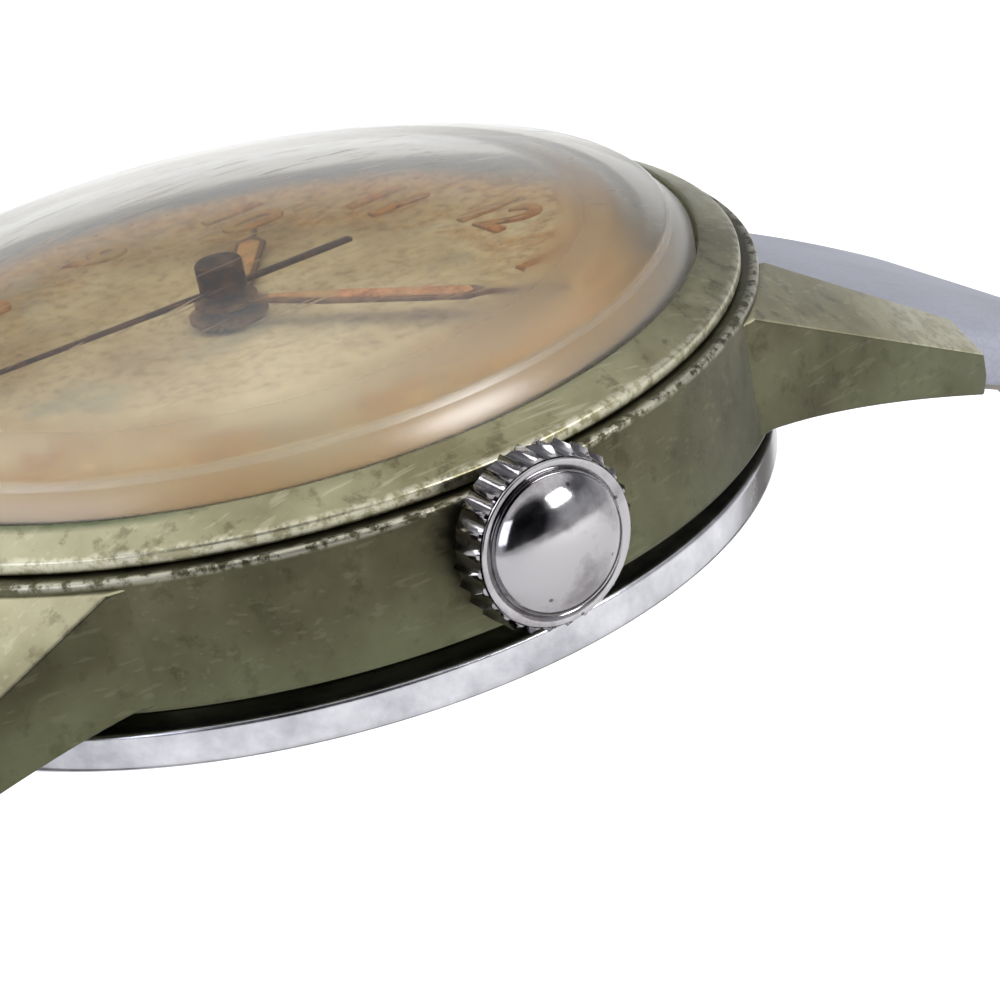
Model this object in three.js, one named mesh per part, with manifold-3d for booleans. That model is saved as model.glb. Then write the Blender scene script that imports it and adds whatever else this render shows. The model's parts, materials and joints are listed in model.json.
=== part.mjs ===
// A hand-wound wristwatch with centre seconds, on a two-piece leather strap that hangs open below it.
// Millimetres. The origin is the middle of the case back's flat face, +Z is out through the dial,
// +X points along the winding stem to the crown (3 o'clock) and +Y points to 12 o'clock.
import * as THREE from "three";
import { mergeVertices } from "three/addons/utils/BufferGeometryUtils.js";
import Module from "manifold-3d";

// ---------------------------------------------------------------- driving dimensions

// case
const caseRadius = 16.5; // round wall of the mid-case
const caseWall = 2.45; // wall between the round outside and the bore
const caseStand = 0.85; // mid-case's upper edge above the main plate
const caseChamfer = 0.2; // broken edges of the mid-case
const wallBottomZ = 3.0; // lower edge of the round wall
const neckWall = 0.9; // narrow neck that the case back presses over
const backInset = 0.3; // from the case's outside to the back's rim
const backRimTopZ = 2.2; // upper edge of the case back's rim
const backStepZ = 0.95; // lower edge of the rim, where the back tapers in
const backTaper = 3.8; // from the back's rim to its flat middle
const backFloor = 0.8; // thickness of the case back's middle
const gasketWidth = 0.5; // flat ring under the case back's rim

// lugs
const lugGap = 18.0; // between the two lugs of a pair, where the strap goes
const lugReach = 4.2; // from the round wall to the lug's tip, along Y
const lugRootWidth = 3.7; // across a lug where it leaves the round wall
const lugTipWidth = 1.6; // across a lug at its tip
const lugTipTopZ = 1.55; // upper edge of the lug's tip
const lugTipBottomZ = 0.2; // lower edge of the lug's tip
const lugCant = 0.54; // fall of the lug's top face towards the outside, per mm

// spring bars
const barInset = 2.65; // spring bar's axis, in from the lug's tip
const barZ = 2.0; // spring bar's height
const barRadius = 0.7; // bar's body
const barPivotRadius = 0.4; // sprung tips
const barPivotLength = 0.75; // how far a tip stands in its lug
const barHoleClearance = 0.06;

// bezel and crystal
const bezelInset = 0.5; // from the case's outside to the bezel's edge
const bezelLip = 0.67; // bezel's bore, outside the case's bore
const bezelFall = 0.68; // drop of the cone from the inner to the outer edge
const bezelSkirt = 0.34; // upright outer edge below the cone
const bezelGap = 0.06; // shadow line between the bezel and the mid-case
const crystalWall = 0.9; // acrylic thickness
const crystalStand = 0.95; // shoulder of the crystal above the bezel
const crystalClearance = 0.06; // between the crystal and the bezel
const crystalTaper = 0.76; // lean of the crystal's wall from the bezel up to the shoulder
const crystalDome = 2.2; // rise of the dome above its shoulder

// movement, stacked from the bridges' outer face up to the dial
const movementRadius = 12.6; // main plate
const movementBottomZ = 2.1; // outer face of the bridges
const bridgeThickness = 0.55;
const trainSpace = 2.05; // between the bridges and the main plate
const plateThickness = 1.6;
const dialGap = 0.9; // between the main plate and the dial, round the motion work
const dialThickness = 0.4;
const stemDepth = 0.77; // stem's axis below the main plate's dial side
const stemRadius = 0.6;
const stemPilotRadius = 0.22; // inner end of the stem, which turns in the main plate
const stemEndX = 5.0;
const bridgeSeat = 0.02; // working gap under a bridge's foot

// wheel train
const thirdDistance = 5.2; // third wheel's axis from the centre
const thirdAngle = 235;
const escapeDistance = 5.2;
const escapeAngle = 310;
const barrelDistance = 5.98;
const barrelAngle = 65;
const balanceDistance = 8.3;
const balanceAngle = 282.5;
const palletFromEscape = 2.75; // pallet staff from the escape wheel's axis, towards the balance
const centreTeeth = 64;
const centrePinionLeaves = 10;
const barrelTeeth = 70;
const thirdTeeth = 60;
const thirdPinionLeaves = 8;
const fourthTeeth = 60;
const fourthPinionLeaves = 8;
const escapePinionLeaves = 6;
const escapeTeeth = 15;
const escapeRadius = 2.3;
const balanceRadius = 3.95;
const wheelThickness = 0.14;
const runningClearance = 0.05; // round a turning arbor or tube

// motion work and hands
const motionDistance = 2.4; // minute wheel's axis from the centre
const cannonLeaves = 10;
const minuteWheelTeeth = 30;
const minutePinionLeaves = 8;
const hourWheelTeeth = 32;
const settingWheelTeeth = 22;
const hourHandShort = 6.3; // hour hand's tip, in from the dial's edge
const minuteHandShort = 2.1;
const secondsHandShort = 2.0;
const secondsTailLength = 4.6;
const handThickness = 0.14;
const handGap = 0.24; // between neighbouring hands
const secondsHubRise = 0.9; // height of the seconds hand's hub
const shownMinutes = 9.2; // the hands stand at nine minutes past ten
const shownHour = 10;
const shownSeconds = 30;

// winding and setting
const crownTeeth = 28;
const crownRadius = 2.71;
const crownLength = 1.3;
const crownGap = 0.18; // between the crown and the case
const crownFlute = 0.26; // depth of the grip's flutes
const crownDomeRadius = 2.38;
const crownDomeRise = 0.85;
const crownPull = 0.9; // travel from winding to hand setting
const tubeRadius = 1.0;
const windingPinionLeaves = 12;
const windingPinionRadius = 0.92;
const windingX = 9.2; // middle of the winding pinion
const crownWheelTeeth = 38;
const crownWheelCrownTeeth = 14;
const crownWheelHubRadius = 1.36; // its crown of teeth, under the winding pinion
const ratchetTeeth = 62;
const ratchetThickness = 0.34;

// strap
const strapSide = 0.3; // gap between the strap and a lug
const strapEndWidth = 16.0; // strap at the buckle and along the floor
const strapNose = 1.35; // radius of the loop round the spring bar
const strapThickness = 2.0; // beyond the padded part
const strapTailLength = 105;
const strapBuckleLength = 65;
const strapStartAngle = 20; // below horizontal at the spring bar
const strapTopRun = 10;
const strapTopRadius = 63;
const strapSideRadius = 27;
const strapBuckleTurn = 14.5; // radius of the turn at the bottom of the loop
const strapLayerGap = 1.5; // between the buckle half and the tail below it
const strapHoleRadius = 0.9;
const strapHolePitch = 6.5;
const strapHoleCount = 6;
const strapFirstHole = 24; // from the tip
const keeperWall = 0.8;
const keeperWidth = 4.4;
const keeperClearance = 0.12;
const fixedKeeperAt = 8; // from the buckle's bar
const freeKeeperAt = 20;

// buckle
const buckleWire = 1.5; // thickness of the frame
const buckleRail = 1.35; // width of its side arms
const buckleSide = 0.25; // gap between the strap and a side arm
const buckleWindow = 6.2; // from the strap's end to the front rail
const buckleFront = 1.7; // width of the front rail
const buckleBarRadius = 0.5;
const tongueWidth = 1.5;
const tongueThickness = 0.5;

// ---------------------------------------------------------------- levels and places worked out from them

const degrees = Math.PI / 180;
const polar = (radius, angle) => [
  radius * Math.cos(angle * degrees),
  radius * Math.sin(angle * degrees),
];
const boreRadius = caseRadius - caseWall;
const neckRadius = boreRadius + neckWall;
const backRadius = caseRadius - backInset;
const backFlatRadius = backRadius - backTaper;
const lugRootX = lugGap / 2 + lugRootWidth;
const lugTipX = lugGap / 2 + lugTipWidth;
const bezelRadius = caseRadius - bezelInset;
const bezelBore = boreRadius + bezelLip;
const crystalRim = bezelBore - crystalClearance;
const crystalShoulder = crystalRim - crystalTaper;
const dialRadius = crystalRim - crystalWall - crystalClearance;
const hourHandLength = dialRadius - hourHandShort;
const minuteHandLength = dialRadius - minuteHandShort;
const secondsHandLength = dialRadius - secondsHandShort;
const strapTailTurn = strapBuckleTurn + strapThickness + strapLayerGap;
const bridgeTopZ = movementBottomZ + bridgeThickness;
const plateBottomZ = bridgeTopZ + trainSpace;
const plateTopZ = plateBottomZ + plateThickness;
const stemZ = plateTopZ - stemDepth;
const dialBottomZ = plateTopZ + dialGap;
const dialTopZ = dialBottomZ + dialThickness;
const caseTopZ = plateTopZ + caseStand;
const bezelTopZ = caseTopZ + bezelGap + bezelSkirt + bezelFall;
const shoulderZ = bezelTopZ + crystalStand;
const lugTipY = caseRadius + lugReach;
const barY = lugTipY - barInset;

const centre = [0, 0];
const barrelAt = polar(barrelDistance, barrelAngle);
const thirdAt = polar(thirdDistance, thirdAngle);
const escapeAt = polar(escapeDistance, escapeAngle);
const balanceAt = polar(balanceDistance, balanceAngle);
const palletAt = along(escapeAt, balanceAt, palletFromEscape);
const minuteWheelAt = [motionDistance, 0];
const crownWheelAt = [windingX - crownWheelHubRadius - 0.05, 0];
const crownWheelTopZ = stemZ - windingPinionRadius + 0.07;

// the train's layers, from the bridges towards the dial
const fourthWheelZ = bridgeTopZ + 0.1;
const thirdWheelZ = fourthWheelZ + wheelThickness + 0.07;
const centreWheelZ = thirdWheelZ + wheelThickness + 0.12;
const barrelBottomZ = centreWheelZ + wheelThickness + 0.12;
const barrelTopZ = plateBottomZ - 0.06;
const escapeWheelZ = plateBottomZ - 0.55;
const motionWorkZ = plateTopZ - 0.42;
const palletBridgeZ = escapeWheelZ - 0.42;
const balanceZ = palletBridgeZ - 0.29;

function along(from, to, distance) {
  const length = Math.hypot(to[0] - from[0], to[1] - from[1]);
  return [0, 1].map((i) => from[i] + ((to[i] - from[i]) * distance) / length);
}

function bearing(from, to) {
  return Math.atan2(to[1] - from[1], to[0] - from[0]) / degrees;
}

// ---------------------------------------------------------------- solids

const wasm = await Module();
wasm.setup();

// A closed geometry as a solid that can be joined and cut.
function solid(geometry) {
  const bare = new THREE.BufferGeometry();
  bare.setAttribute("position", geometry.getAttribute("position").clone());
  if (geometry.index) bare.setIndex(geometry.index.clone());
  const merged = mergeVertices(bare, 1e-5);
  const corners = [];
  const index = merged.index.array;
  for (let i = 0; i < index.length; i += 3) {
    const [a, b, c] = [index[i], index[i + 1], index[i + 2]];
    if (a !== b && b !== c && c !== a) corners.push(a, b, c);
  }
  return new wasm.Manifold(
    new wasm.Mesh({
      numProp: 3,
      vertProperties: merged.attributes.position.array,
      triVerts: new Uint32Array(corners),
    }),
  );
}

// A solid as a geometry that a mesh can show.
function geometryOf(made) {
  const mesh = made.getMesh();
  const geometry = new THREE.BufferGeometry();
  geometry.setAttribute("position", new THREE.BufferAttribute(new Float32Array(mesh.vertProperties), 3));
  geometry.setIndex(new THREE.BufferAttribute(new Uint32Array(mesh.triVerts), 1));
  geometry.computeVertexNormals();
  return geometry;
}

const join = (...parts) => parts.reduce((sum, part) => sum.add(part));
const cut = (from, ...tools) => tools.reduce((rest, tool) => rest.subtract(tool), from);

// A turned solid about Z: its profile is [radius, z] pairs, anticlockwise, open only on the axis.
function turned(profile, segments = 32) {
  const points = profile.map(([radius, z]) => new THREE.Vector2(radius, z));
  const [first, last] = [profile[0], profile[profile.length - 1]];
  if (first[0] > 0 || last[0] > 0) points.push(points[0].clone());
  return solid(new THREE.LatheGeometry(points, segments).rotateX(Math.PI / 2));
}

function rod(radius, bottom, top, [x, y] = centre, segments = 12) {
  const geometry = new THREE.CylinderGeometry(radius, radius, top - bottom, segments);
  return solid(geometry.rotateX(Math.PI / 2).translate(x, y, (bottom + top) / 2));
}

// A rod along X, centred on [y, z].
function crossRod(radius, left, right, [y, z], segments = 12) {
  const geometry = new THREE.CylinderGeometry(radius, radius, right - left, segments);
  return solid(geometry.rotateZ(Math.PI / 2).translate((left + right) / 2, y, z));
}

function block([x0, x1], [y0, y1], [z0, z1]) {
  const geometry = new THREE.BoxGeometry(x1 - x0, y1 - y0, z1 - z0);
  return solid(geometry.translate((x0 + x1) / 2, (y0 + y1) / 2, (z0 + z1) / 2));
}

function outline(points) {
  return new THREE.Shape(points.map(([x, y]) => new THREE.Vector2(x, y)));
}

// A plate of a flat shape between two heights.
function plate(shape, bottom, top, curveSegments = 8) {
  const options = { depth: top - bottom, bevelEnabled: false, curveSegments };
  return solid(new THREE.ExtrudeGeometry(shape, options).translate(0, 0, bottom));
}

// A side outline of [y, z] pairs, carried along X.
function sidePlate(points, left, right) {
  const shape = outline(points);
  const geometry = new THREE.ExtrudeGeometry(shape, { depth: right - left, bevelEnabled: false });
  geometry.rotateY(Math.PI / 2).rotateX(Math.PI / 2);
  return solid(geometry.translate(left, 0, 0));
}

// A round-ended bar between two points.
function strip(from, to, halfWidth, bottom, top) {
  const angle = bearing(from, to) * degrees;
  const shape = new THREE.Shape();
  shape.absarc(to[0], to[1], halfWidth, angle - Math.PI / 2, angle + Math.PI / 2, false);
  shape.absarc(from[0], from[1], halfWidth, angle + Math.PI / 2, angle + 1.5 * Math.PI, false);
  return plate(shape, bottom, top, 3);
}

// ---------------------------------------------------------------- toothed wheels

// Pitch radii of a pair of wheels whose axes are a given distance apart.
function pitchRadii(distance, teeth, matingTeeth) {
  const modulus = (2 * distance) / (teeth + matingTeeth);
  return [(teeth * modulus) / 2, (matingTeeth * modulus) / 2];
}

// The angle of a mating wheel's tooth, so that it stands in mesh with a wheel that has a tooth at `phase`.
function matingPhase(teeth, phase, direction, matingTeeth) {
  const place = ((direction - phase) * teeth) / 360;
  return direction + 180 - ((0.5 - place) * 360) / matingTeeth;
}

// A toothed outline with a tooth at the angle `phase`.
function toothed(teeth, pitchRadius, phase, [x, y] = centre) {
  const modulus = (2 * pitchRadius) / teeth;
  const points = [];
  for (let tooth = 0; tooth < teeth; tooth += 1) {
    for (const [radius, step] of [
      [pitchRadius + 0.8 * modulus, 0],
      [pitchRadius - 1.15 * modulus, 0.5],
    ]) {
      const angle = (phase + ((tooth + step) * 360) / teeth) * degrees;
      points.push([x + radius * Math.cos(angle), y + radius * Math.sin(angle)]);
    }
  }
  return outline(points);
}

function gear(teeth, pitchRadius, phase, at, bottom, top) {
  return plate(toothed(teeth, pitchRadius, phase, at), bottom, top);
}

// A train wheel: a toothed rim on four arms, with its crossings cut out.
function crossedWheel(teeth, pitchRadius, phase, at, bottom, top, hub) {
  const rim = pitchRadius * 0.8;
  const shape = toothed(teeth, pitchRadius, phase, at);
  for (let arm = 0; arm < 4; arm += 1) {
    const [from, to] = [arm * 90 + 12, arm * 90 + 78].map((angle) => angle * degrees);
    const crossing = new THREE.Path();
    crossing.absarc(at[0], at[1], rim, from, to, false);
    crossing.absarc(at[0], at[1], hub * 1.6, to, from, true);
    crossing.closePath();
    shape.holes.push(crossing);
  }
  return plate(shape, bottom, top, 2);
}

// A flat coiled spring, from its inner to its outer radius.
function coil(inner, outer, turns, width, start, [x, y], bottom, top, steps = 12) {
  const count = Math.round(turns * steps);
  const side = (shift) =>
    Array.from({ length: count + 1 }, (_, i) => {
      const radius = inner + ((outer - inner) * i) / count + shift;
      const angle = (start + (360 * i) / steps) * degrees;
      return [x + radius * Math.cos(angle), y + radius * Math.sin(angle)];
    });
  return plate(outline([...side(width / 2), ...side(-width / 2).reverse()]), bottom, top);
}

// ---------------------------------------------------------------- the model

const watch = new THREE.Group();
watch.name = "wristwatch";

const finishes = {
  wornNickel: { color: 0x8d8a6e, roughness: 0.42, metalness: 0.9 },
  steel: { color: 0xb9bcc2, roughness: 0.25, metalness: 1.0 },
  chrome: { color: 0xd6d7da, roughness: 0.08, metalness: 1.0 },
  brass: { color: 0xb9974f, roughness: 0.35, metalness: 1.0 },
  nickel: { color: 0xa9a79c, roughness: 0.3, metalness: 1.0 },
  blued: { color: 0x2b3348, roughness: 0.3, metalness: 1.0 },
  agedDial: { color: 0xb9a47e, roughness: 0.6, metalness: 0.0 },
  lume: { color: 0x9a6a3c, roughness: 0.7, metalness: 0.2 },
  acrylic: { color: 0xe8e8e0, roughness: 0.1, metalness: 0.0 },
  leather: { color: 0x8f929e, roughness: 0.7, metalness: 0.0 },
  rubber: { color: 0x2a2a28, roughness: 0.8, metalness: 0.0 },
};

function add(name, finish, made) {
  const mesh = new THREE.Mesh(geometryOf(made), new THREE.MeshStandardMaterial(finishes[finish]));
  mesh.name = name;
  watch.add(mesh);
}

// ---------------------------------------------------------------- case

// One lug, for the quarter given by the signs of X and Y: its underside sweeps down to the tip, its
// outside tapers in and its top falls away both to the tip and to the outside.
function lug(signX, signY) {
  const rootY = caseRadius - 8;
  const tipRise = (lugTipTopZ - lugTipBottomZ) * 0.45;
  const underside = new THREE.QuadraticBezierCurve(
    new THREE.Vector2(lugTipY - 9.6, wallBottomZ + 0.15),
    new THREE.Vector2(lugTipY - 6.0, wallBottomZ - 0.5),
    new THREE.Vector2(lugTipY - 0.25, lugTipBottomZ),
  ).getPoints(6);
  const side = [
    [rootY, wallBottomZ + 0.15],
    ...underside.map((point) => [point.x, point.y]),
    [lugTipY, lugTipBottomZ + tipRise],
    [lugTipY, caseTopZ - 0.3],
    [rootY, caseTopZ - 0.3],
  ];
  const inside = lugGap / 2;
  const blank = sidePlate(side, inside, lugRootX + 1);

  // outside face: a plane from the root to the tip
  const lengthY = lugTipY - rootJunctionY();
  const taper = Math.atan2(lugRootX - lugTipX, lengthY);
  const outside = new THREE.BoxGeometry(20, 60, 40).translate(10, 0, 0);
  outside.rotateZ(taper).translate(lugRootX, rootJunctionY(), 0);

  // top face: falls along Y to the tip's upper edge and along X by the cant
  const fall = (caseTopZ - lugTipTopZ) / lengthY + ((lugTipX - lugRootX) * -lugCant) / lengthY;
  const normal = new THREE.Vector3(lugCant, fall, 1).normalize();
  const above = new THREE.BoxGeometry(60, 60, 20).translate(0, 0, 10);
  above.applyQuaternion(new THREE.Quaternion().setFromUnitVectors(new THREE.Vector3(0, 0, 1), normal));
  above.translate(lugRootX, rootJunctionY(), caseTopZ);

  const made = cut(blank, solid(outside), solid(above));
  return made.scale([signX, signY, 1]);
}

// Where a lug's outside face meets the round wall.
function rootJunctionY() {
  return Math.sqrt(caseRadius ** 2 - lugRootX ** 2);
}

function caseBody() {
  const ring = turned(
    [
      [neckRadius - neckWall, backRimTopZ - 0.5],
      [neckRadius, backRimTopZ - 0.5],
      [neckRadius, wallBottomZ - 0.2],
      [caseRadius - 0.9, wallBottomZ - 0.2],
      [caseRadius, wallBottomZ],
      [caseRadius, caseTopZ - caseChamfer],
      [caseRadius - caseChamfer, caseTopZ],
      [neckRadius - neckWall, caseTopZ],
    ],
    56,
  );
  const lugs = [1, -1].flatMap((x) => [1, -1].map((y) => lug(x, y)));
  const bore = rod(boreRadius, 0, caseTopZ + 1, centre, 56);
  const tubeHole = crossRod(tubeRadius + 0.03, boreRadius - 0.85, caseRadius + 1, [0, stemZ], 16);
  const barHoles = [1, -1].map((y) =>
    crossRod(
      barPivotRadius + barHoleClearance,
      -lugGap / 2 - barPivotLength - 0.1,
      lugGap / 2 + barPivotLength + 0.1,
      [y * barY, barZ],
      10,
    ),
  );
  return cut(join(ring, ...lugs), bore, tubeHole, ...barHoles);
}

function bezel() {
  const skirtBottomZ = caseTopZ + bezelGap;
  const coneBottomZ = skirtBottomZ + bezelSkirt;
  return turned(
    [
      [bezelBore, skirtBottomZ],
      [bezelRadius - 0.12, skirtBottomZ],
      [bezelRadius, skirtBottomZ + 0.12],
      [bezelRadius, coneBottomZ],
      [bezelBore + 0.12, bezelTopZ],
      [bezelBore, bezelTopZ - 0.1],
    ],
    56,
  );
}

// The crystal stands in the bezel and reaches down to the case, with a low dome over the hands.
function crystal() {
  const foot = caseTopZ + bezelGap;
  const rim = crystalRim;
  const domeRadius = (crystalShoulder ** 2 + crystalDome ** 2) / (2 * crystalDome);
  const dome = (inset) =>
    [0, 1, 2, 3].map((step) => {
      const radius = ((crystalShoulder - inset) * (3 - step)) / 3;
      const drop = domeRadius - Math.sqrt(domeRadius ** 2 - radius ** 2);
      return [radius, shoulderZ + crystalDome - inset - drop];
    });
  return turned(
    [
      [rim - crystalWall, foot],
      [rim, foot],
      [rim, bezelTopZ],
      ...dome(0),
      ...dome(crystalWall).reverse(),
      [rim - crystalWall, bezelTopZ - 0.4],
    ],
    48,
  );
}

function caseBack() {
  return turned(
    [
      [0, 0],
      [backFlatRadius, 0],
      [backRadius - 0.8, backStepZ],
      [backRadius, backStepZ + 0.25],
      [backRadius, backRimTopZ - 0.12],
      [backRadius - 0.12, backRimTopZ],
      [neckRadius + 0.06, backRimTopZ],
      [neckRadius + 0.06, backRimTopZ - 0.5 - gasketWidth],
      [neckRadius - 1.0, backRimTopZ - 0.5 - gasketWidth],
      [backFlatRadius, backFloor],
      [0, backFloor],
    ],
    56,
  );
}

function caseBackGasket() {
  const top = backRimTopZ - 0.52;
  return turned(
    [
      [neckRadius - 0.8, top - gasketWidth + 0.04],
      [neckRadius - 0.05, top - gasketWidth + 0.04],
      [neckRadius - 0.05, top],
      [neckRadius - 0.8, top],
    ],
    40,
  );
}

// The ring fills the room between the movement and the case, and the dial rests on it.
function movementRing() {
  const outer = boreRadius - 0.05;
  const ring = turned(
    [
      [movementRadius + 0.04, plateBottomZ + 0.3],
      [outer, plateBottomZ + 0.3],
      [outer, dialBottomZ - 0.01],
      [movementRadius + 0.04, dialBottomZ - 0.01],
    ],
    48,
  );
  return cut(ring, crossRod(tubeRadius + 0.1, movementRadius - 2, caseRadius, [0, stemZ], 16));
}

function dial() {
  const disc = turned(
    [
      [0.98, dialBottomZ + 0.01],
      [dialRadius, dialBottomZ + 0.01],
      [dialRadius, dialTopZ],
      [0.98, dialTopZ],
    ],
    48,
  );
  // two feet stand in the main plate
  const feet = dialFeet().map((at) => rod(0.35, plateTopZ - 0.7, dialBottomZ + 0.1, at, 8));
  return join(disc, ...feet);
}

function dialFeet() {
  return [150, 330].map((angle) => polar(movementRadius - 1.2, angle));
}

// ---------------------------------------------------------------- main plate and bridges

const screwPlaces = {
  barrel_bridge_screw_1: polar(movementRadius - 0.9, 12),
  barrel_bridge_screw_2: polar(movementRadius - 0.9, 128),
  train_bridge_screw_1: polar(movementRadius - 1.2, 165),
  train_bridge_screw_2: polar(movementRadius - 1.2, 225),
  balance_cock_screw: polar(11.0, 251),
};
const screwRadius = 0.3;
const screwHeadRadius = 0.55;
const screwHeadThickness = 0.3;

function keylessWindow(bottom, top) {
  return block([windingX - 2.45, windingX + 2.5], [-1.05, 1.05], [bottom, top]);
}

function mainPlate() {
  const disc = rod(movementRadius, plateBottomZ, plateTopZ, centre, 48);
  const motionFloorZ = motionWorkZ - 0.08;
  const wheelPocket = (at, radius) => rod(radius, motionFloorZ, plateTopZ + 1, at, 20);
  const arborHole = (at, radius) => rod(radius, plateBottomZ - 1, plateTopZ + 1, at, 10);
  const stemBore = join(
    crossRod(stemRadius + 0.08, windingX, movementRadius + 1, [0, stemZ], 14),
    crossRod(stemPilotRadius + 0.06, stemEndX - 0.2, windingX, [0, stemZ], 10),
  );
  const screwHoles = Object.values(screwPlaces).map((at) => arborHole(at, screwRadius + 0.05));
  return cut(
    disc,
    wheelPocket(centre, 2.3),
    wheelPocket(minuteWheelAt, 2.2),
    wheelPocket(settingWheelAt, 1.62),
    rod(crownWheelHubRadius + 0.12, plateBottomZ - 1, crownWheelTopZ + 0.1, crownWheelAt, 20),
    arborHole(centre, centreTubeRadius + runningClearance),
    arborHole(thirdAt, arborRadius + runningClearance),
    arborHole(escapeAt, arborRadius + runningClearance),
    arborHole(palletAt, arborRadius + runningClearance),
    arborHole(balanceAt, arborRadius + runningClearance),
    arborHole(barrelAt, 0.5),
    keylessWindow(plateBottomZ - 1, plateTopZ + 1),
    stemBore,
    ...dialFeet().map((at) => arborHole(at, 0.4)),
    ...screwHoles,
  );
}

const arborRadius = 0.16;
const centreTubeRadius = 0.4;
const cannonRadius = 0.5;
const hourPipeRadius = 0.8;

// A sector of the movement's edge, as a bridge's foot.
function footSector(fromAngle, toAngle, inner, bottom, top) {
  const shape = new THREE.Shape();
  const outer = movementRadius - 0.15;
  shape.absarc(0, 0, outer, fromAngle * degrees, toAngle * degrees, false);
  shape.absarc(0, 0, inner, toAngle * degrees, fromAngle * degrees, true);
  return plate(shape, bottom, top, 6);
}

function bridgeScrewHole(at) {
  return join(
    rod(screwRadius + 0.05, movementBottomZ - 1, plateBottomZ + 1, at, 10),
    rod(screwHeadRadius + 0.05, movementBottomZ - 1, movementBottomZ + screwHeadThickness, at, 12),
  );
}

function barrelBridge() {
  const cover = footSector(-18, 146, 4.98, movementBottomZ, bridgeTopZ);
  const foot = footSector(-18, 146, movementRadius - 1.25, bridgeTopZ - 0.1, plateBottomZ - bridgeSeat);
  const windingSide = footSector(100, 146, 10.2, bridgeTopZ - 0.1, plateBottomZ - bridgeSeat);
  return cut(
    join(cover, foot, cut(windingSide, rod(5.6, 0, plateTopZ, barrelAt, 32))),
    rod(0.62, 0, plateTopZ, barrelAt, 16),
    rod(crownWheelHubRadius + 0.12, 0, plateTopZ, crownWheelAt, 20),
    bridgeScrewHole(screwPlaces.barrel_bridge_screw_1),
    bridgeScrewHole(screwPlaces.barrel_bridge_screw_2),
    rod(0.2, 0, bridgeTopZ + 0.2, clickAt, 8),
  );
}

// The train bridge carries the centre, third, fourth and escape pivots.
function trainBridge() {
  const reach = 4.75;
  const cover = footSector(150, 242, 3.0, movementBottomZ, bridgeTopZ);
  const middle = rod(reach, movementBottomZ, bridgeTopZ, centre, 32);
  const escapeArm = strip(centre, escapeAt, 1.3, movementBottomZ, bridgeTopZ);
  const foot = footSector(155, 236, movementRadius - 2.4, bridgeTopZ - 0.1, plateBottomZ - bridgeSeat);
  const pivots = [thirdAt, escapeAt].map((at) => rod(arborRadius + 0.05, 0, plateBottomZ, at, 8));
  return cut(
    join(cover, middle, escapeArm, foot),
    rod(arborRadius + 0.05, 0, plateBottomZ, centre, 8),
    ...pivots,
    bridgeScrewHole(screwPlaces.train_bridge_screw_1),
    bridgeScrewHole(screwPlaces.train_bridge_screw_2),
  );
}

function balanceCock() {
  const footAt = screwPlaces.balance_cock_screw;
  const footTop = plateBottomZ - bridgeSeat;
  return cut(
    join(
      strip(footAt, balanceAt, 1.1, movementBottomZ, bridgeTopZ),
      rod(1.25, movementBottomZ, footTop, footAt, 16),
    ),
    rod(arborRadius + 0.05, 0, plateBottomZ, balanceAt, 8),
    bridgeScrewHole(footAt),
  );
}

// A small bar over the pallet staff, on a foot at each end.
function palletBridge() {
  const [dx, dy] = polar(2.2, bearing(escapeAt, balanceAt) + 90);
  const ends = [1, -1].map((side) => [palletAt[0] + side * dx, palletAt[1] + side * dy]);
  const feet = ends.map((at) => rod(0.55, palletBridgeZ, plateBottomZ - bridgeSeat, at, 12));
  return cut(
    join(strip(ends[0], ends[1], 0.5, palletBridgeZ, palletBridgeZ + 0.22), ...feet),
    rod(arborRadius, 0, palletBridgeZ + 0.5, palletAt, 8),
  );
}

// The regulator turns stiffly on the balance cock and points to its scale.
function regulator() {
  const bottom = movementBottomZ - 0.24;
  const tail = polar(2.4, bearing(balanceAt, screwPlaces.balance_cock_screw) + 28);
  const tip = [balanceAt[0] + tail[0], balanceAt[1] + tail[1]];
  return cut(
    join(
      rod(0.85, bottom, movementBottomZ - 0.03, balanceAt, 16),
      strip(balanceAt, tip, 0.2, bottom, bottom + 0.2),
    ),
    rod(0.35, 0, plateBottomZ, balanceAt, 10),
  );
}

// A cheese-headed screw with its slot, head outwards.
function bridgeScrew(at) {
  const headTop = movementBottomZ + screwHeadThickness - 0.02;
  const head = rod(screwHeadRadius, movementBottomZ, headTop, at, 12);
  const shank = rod(screwRadius, headTop - 0.01, plateBottomZ + 0.9, at, 8);
  const slot = block([at[0] - 1, at[0] + 1], [at[1] - 0.07, at[1] + 0.07], [0, movementBottomZ + 0.12]);
  return cut(join(head, shank), slot);
}

// ---------------------------------------------------------------- barrel and winding work

const [barrelPitch, centrePinionPitch] = pitchRadii(barrelDistance, barrelTeeth, centrePinionLeaves);
const barrelToCentre = bearing(barrelAt, centre);
const drumRadius = barrelPitch - 0.32;
const barrelArborRadius = 0.9;

function barrelDrum() {
  const wall = 0.3;
  const toothTop = barrelTopZ - 0.02;
  const teeth = gear(barrelTeeth, barrelPitch, barrelToCentre, barrelAt, toothTop - 0.26, toothTop);
  const drum = rod(drumRadius, barrelBottomZ + 0.14, toothTop, barrelAt, 32);
  return cut(
    join(teeth, drum),
    rod(drumRadius - wall, 0, toothTop - 0.18, barrelAt, 32),
    rod(0.56, 0, plateTopZ, barrelAt, 14),
  );
}

function barrelCover() {
  const disc = rod(drumRadius, barrelBottomZ, barrelBottomZ + 0.12, barrelAt, 32);
  return cut(disc, rod(0.56, 0, plateTopZ, barrelAt, 14));
}

function mainspring() {
  const [inner, outer] = [barrelArborRadius + 0.2, drumRadius - 0.45];
  const [bottom, top] = [barrelBottomZ + 0.2, barrelTopZ - 0.28];
  return coil(inner, outer, 6, 0.14, 0, barrelAt, bottom, top);
}

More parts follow.
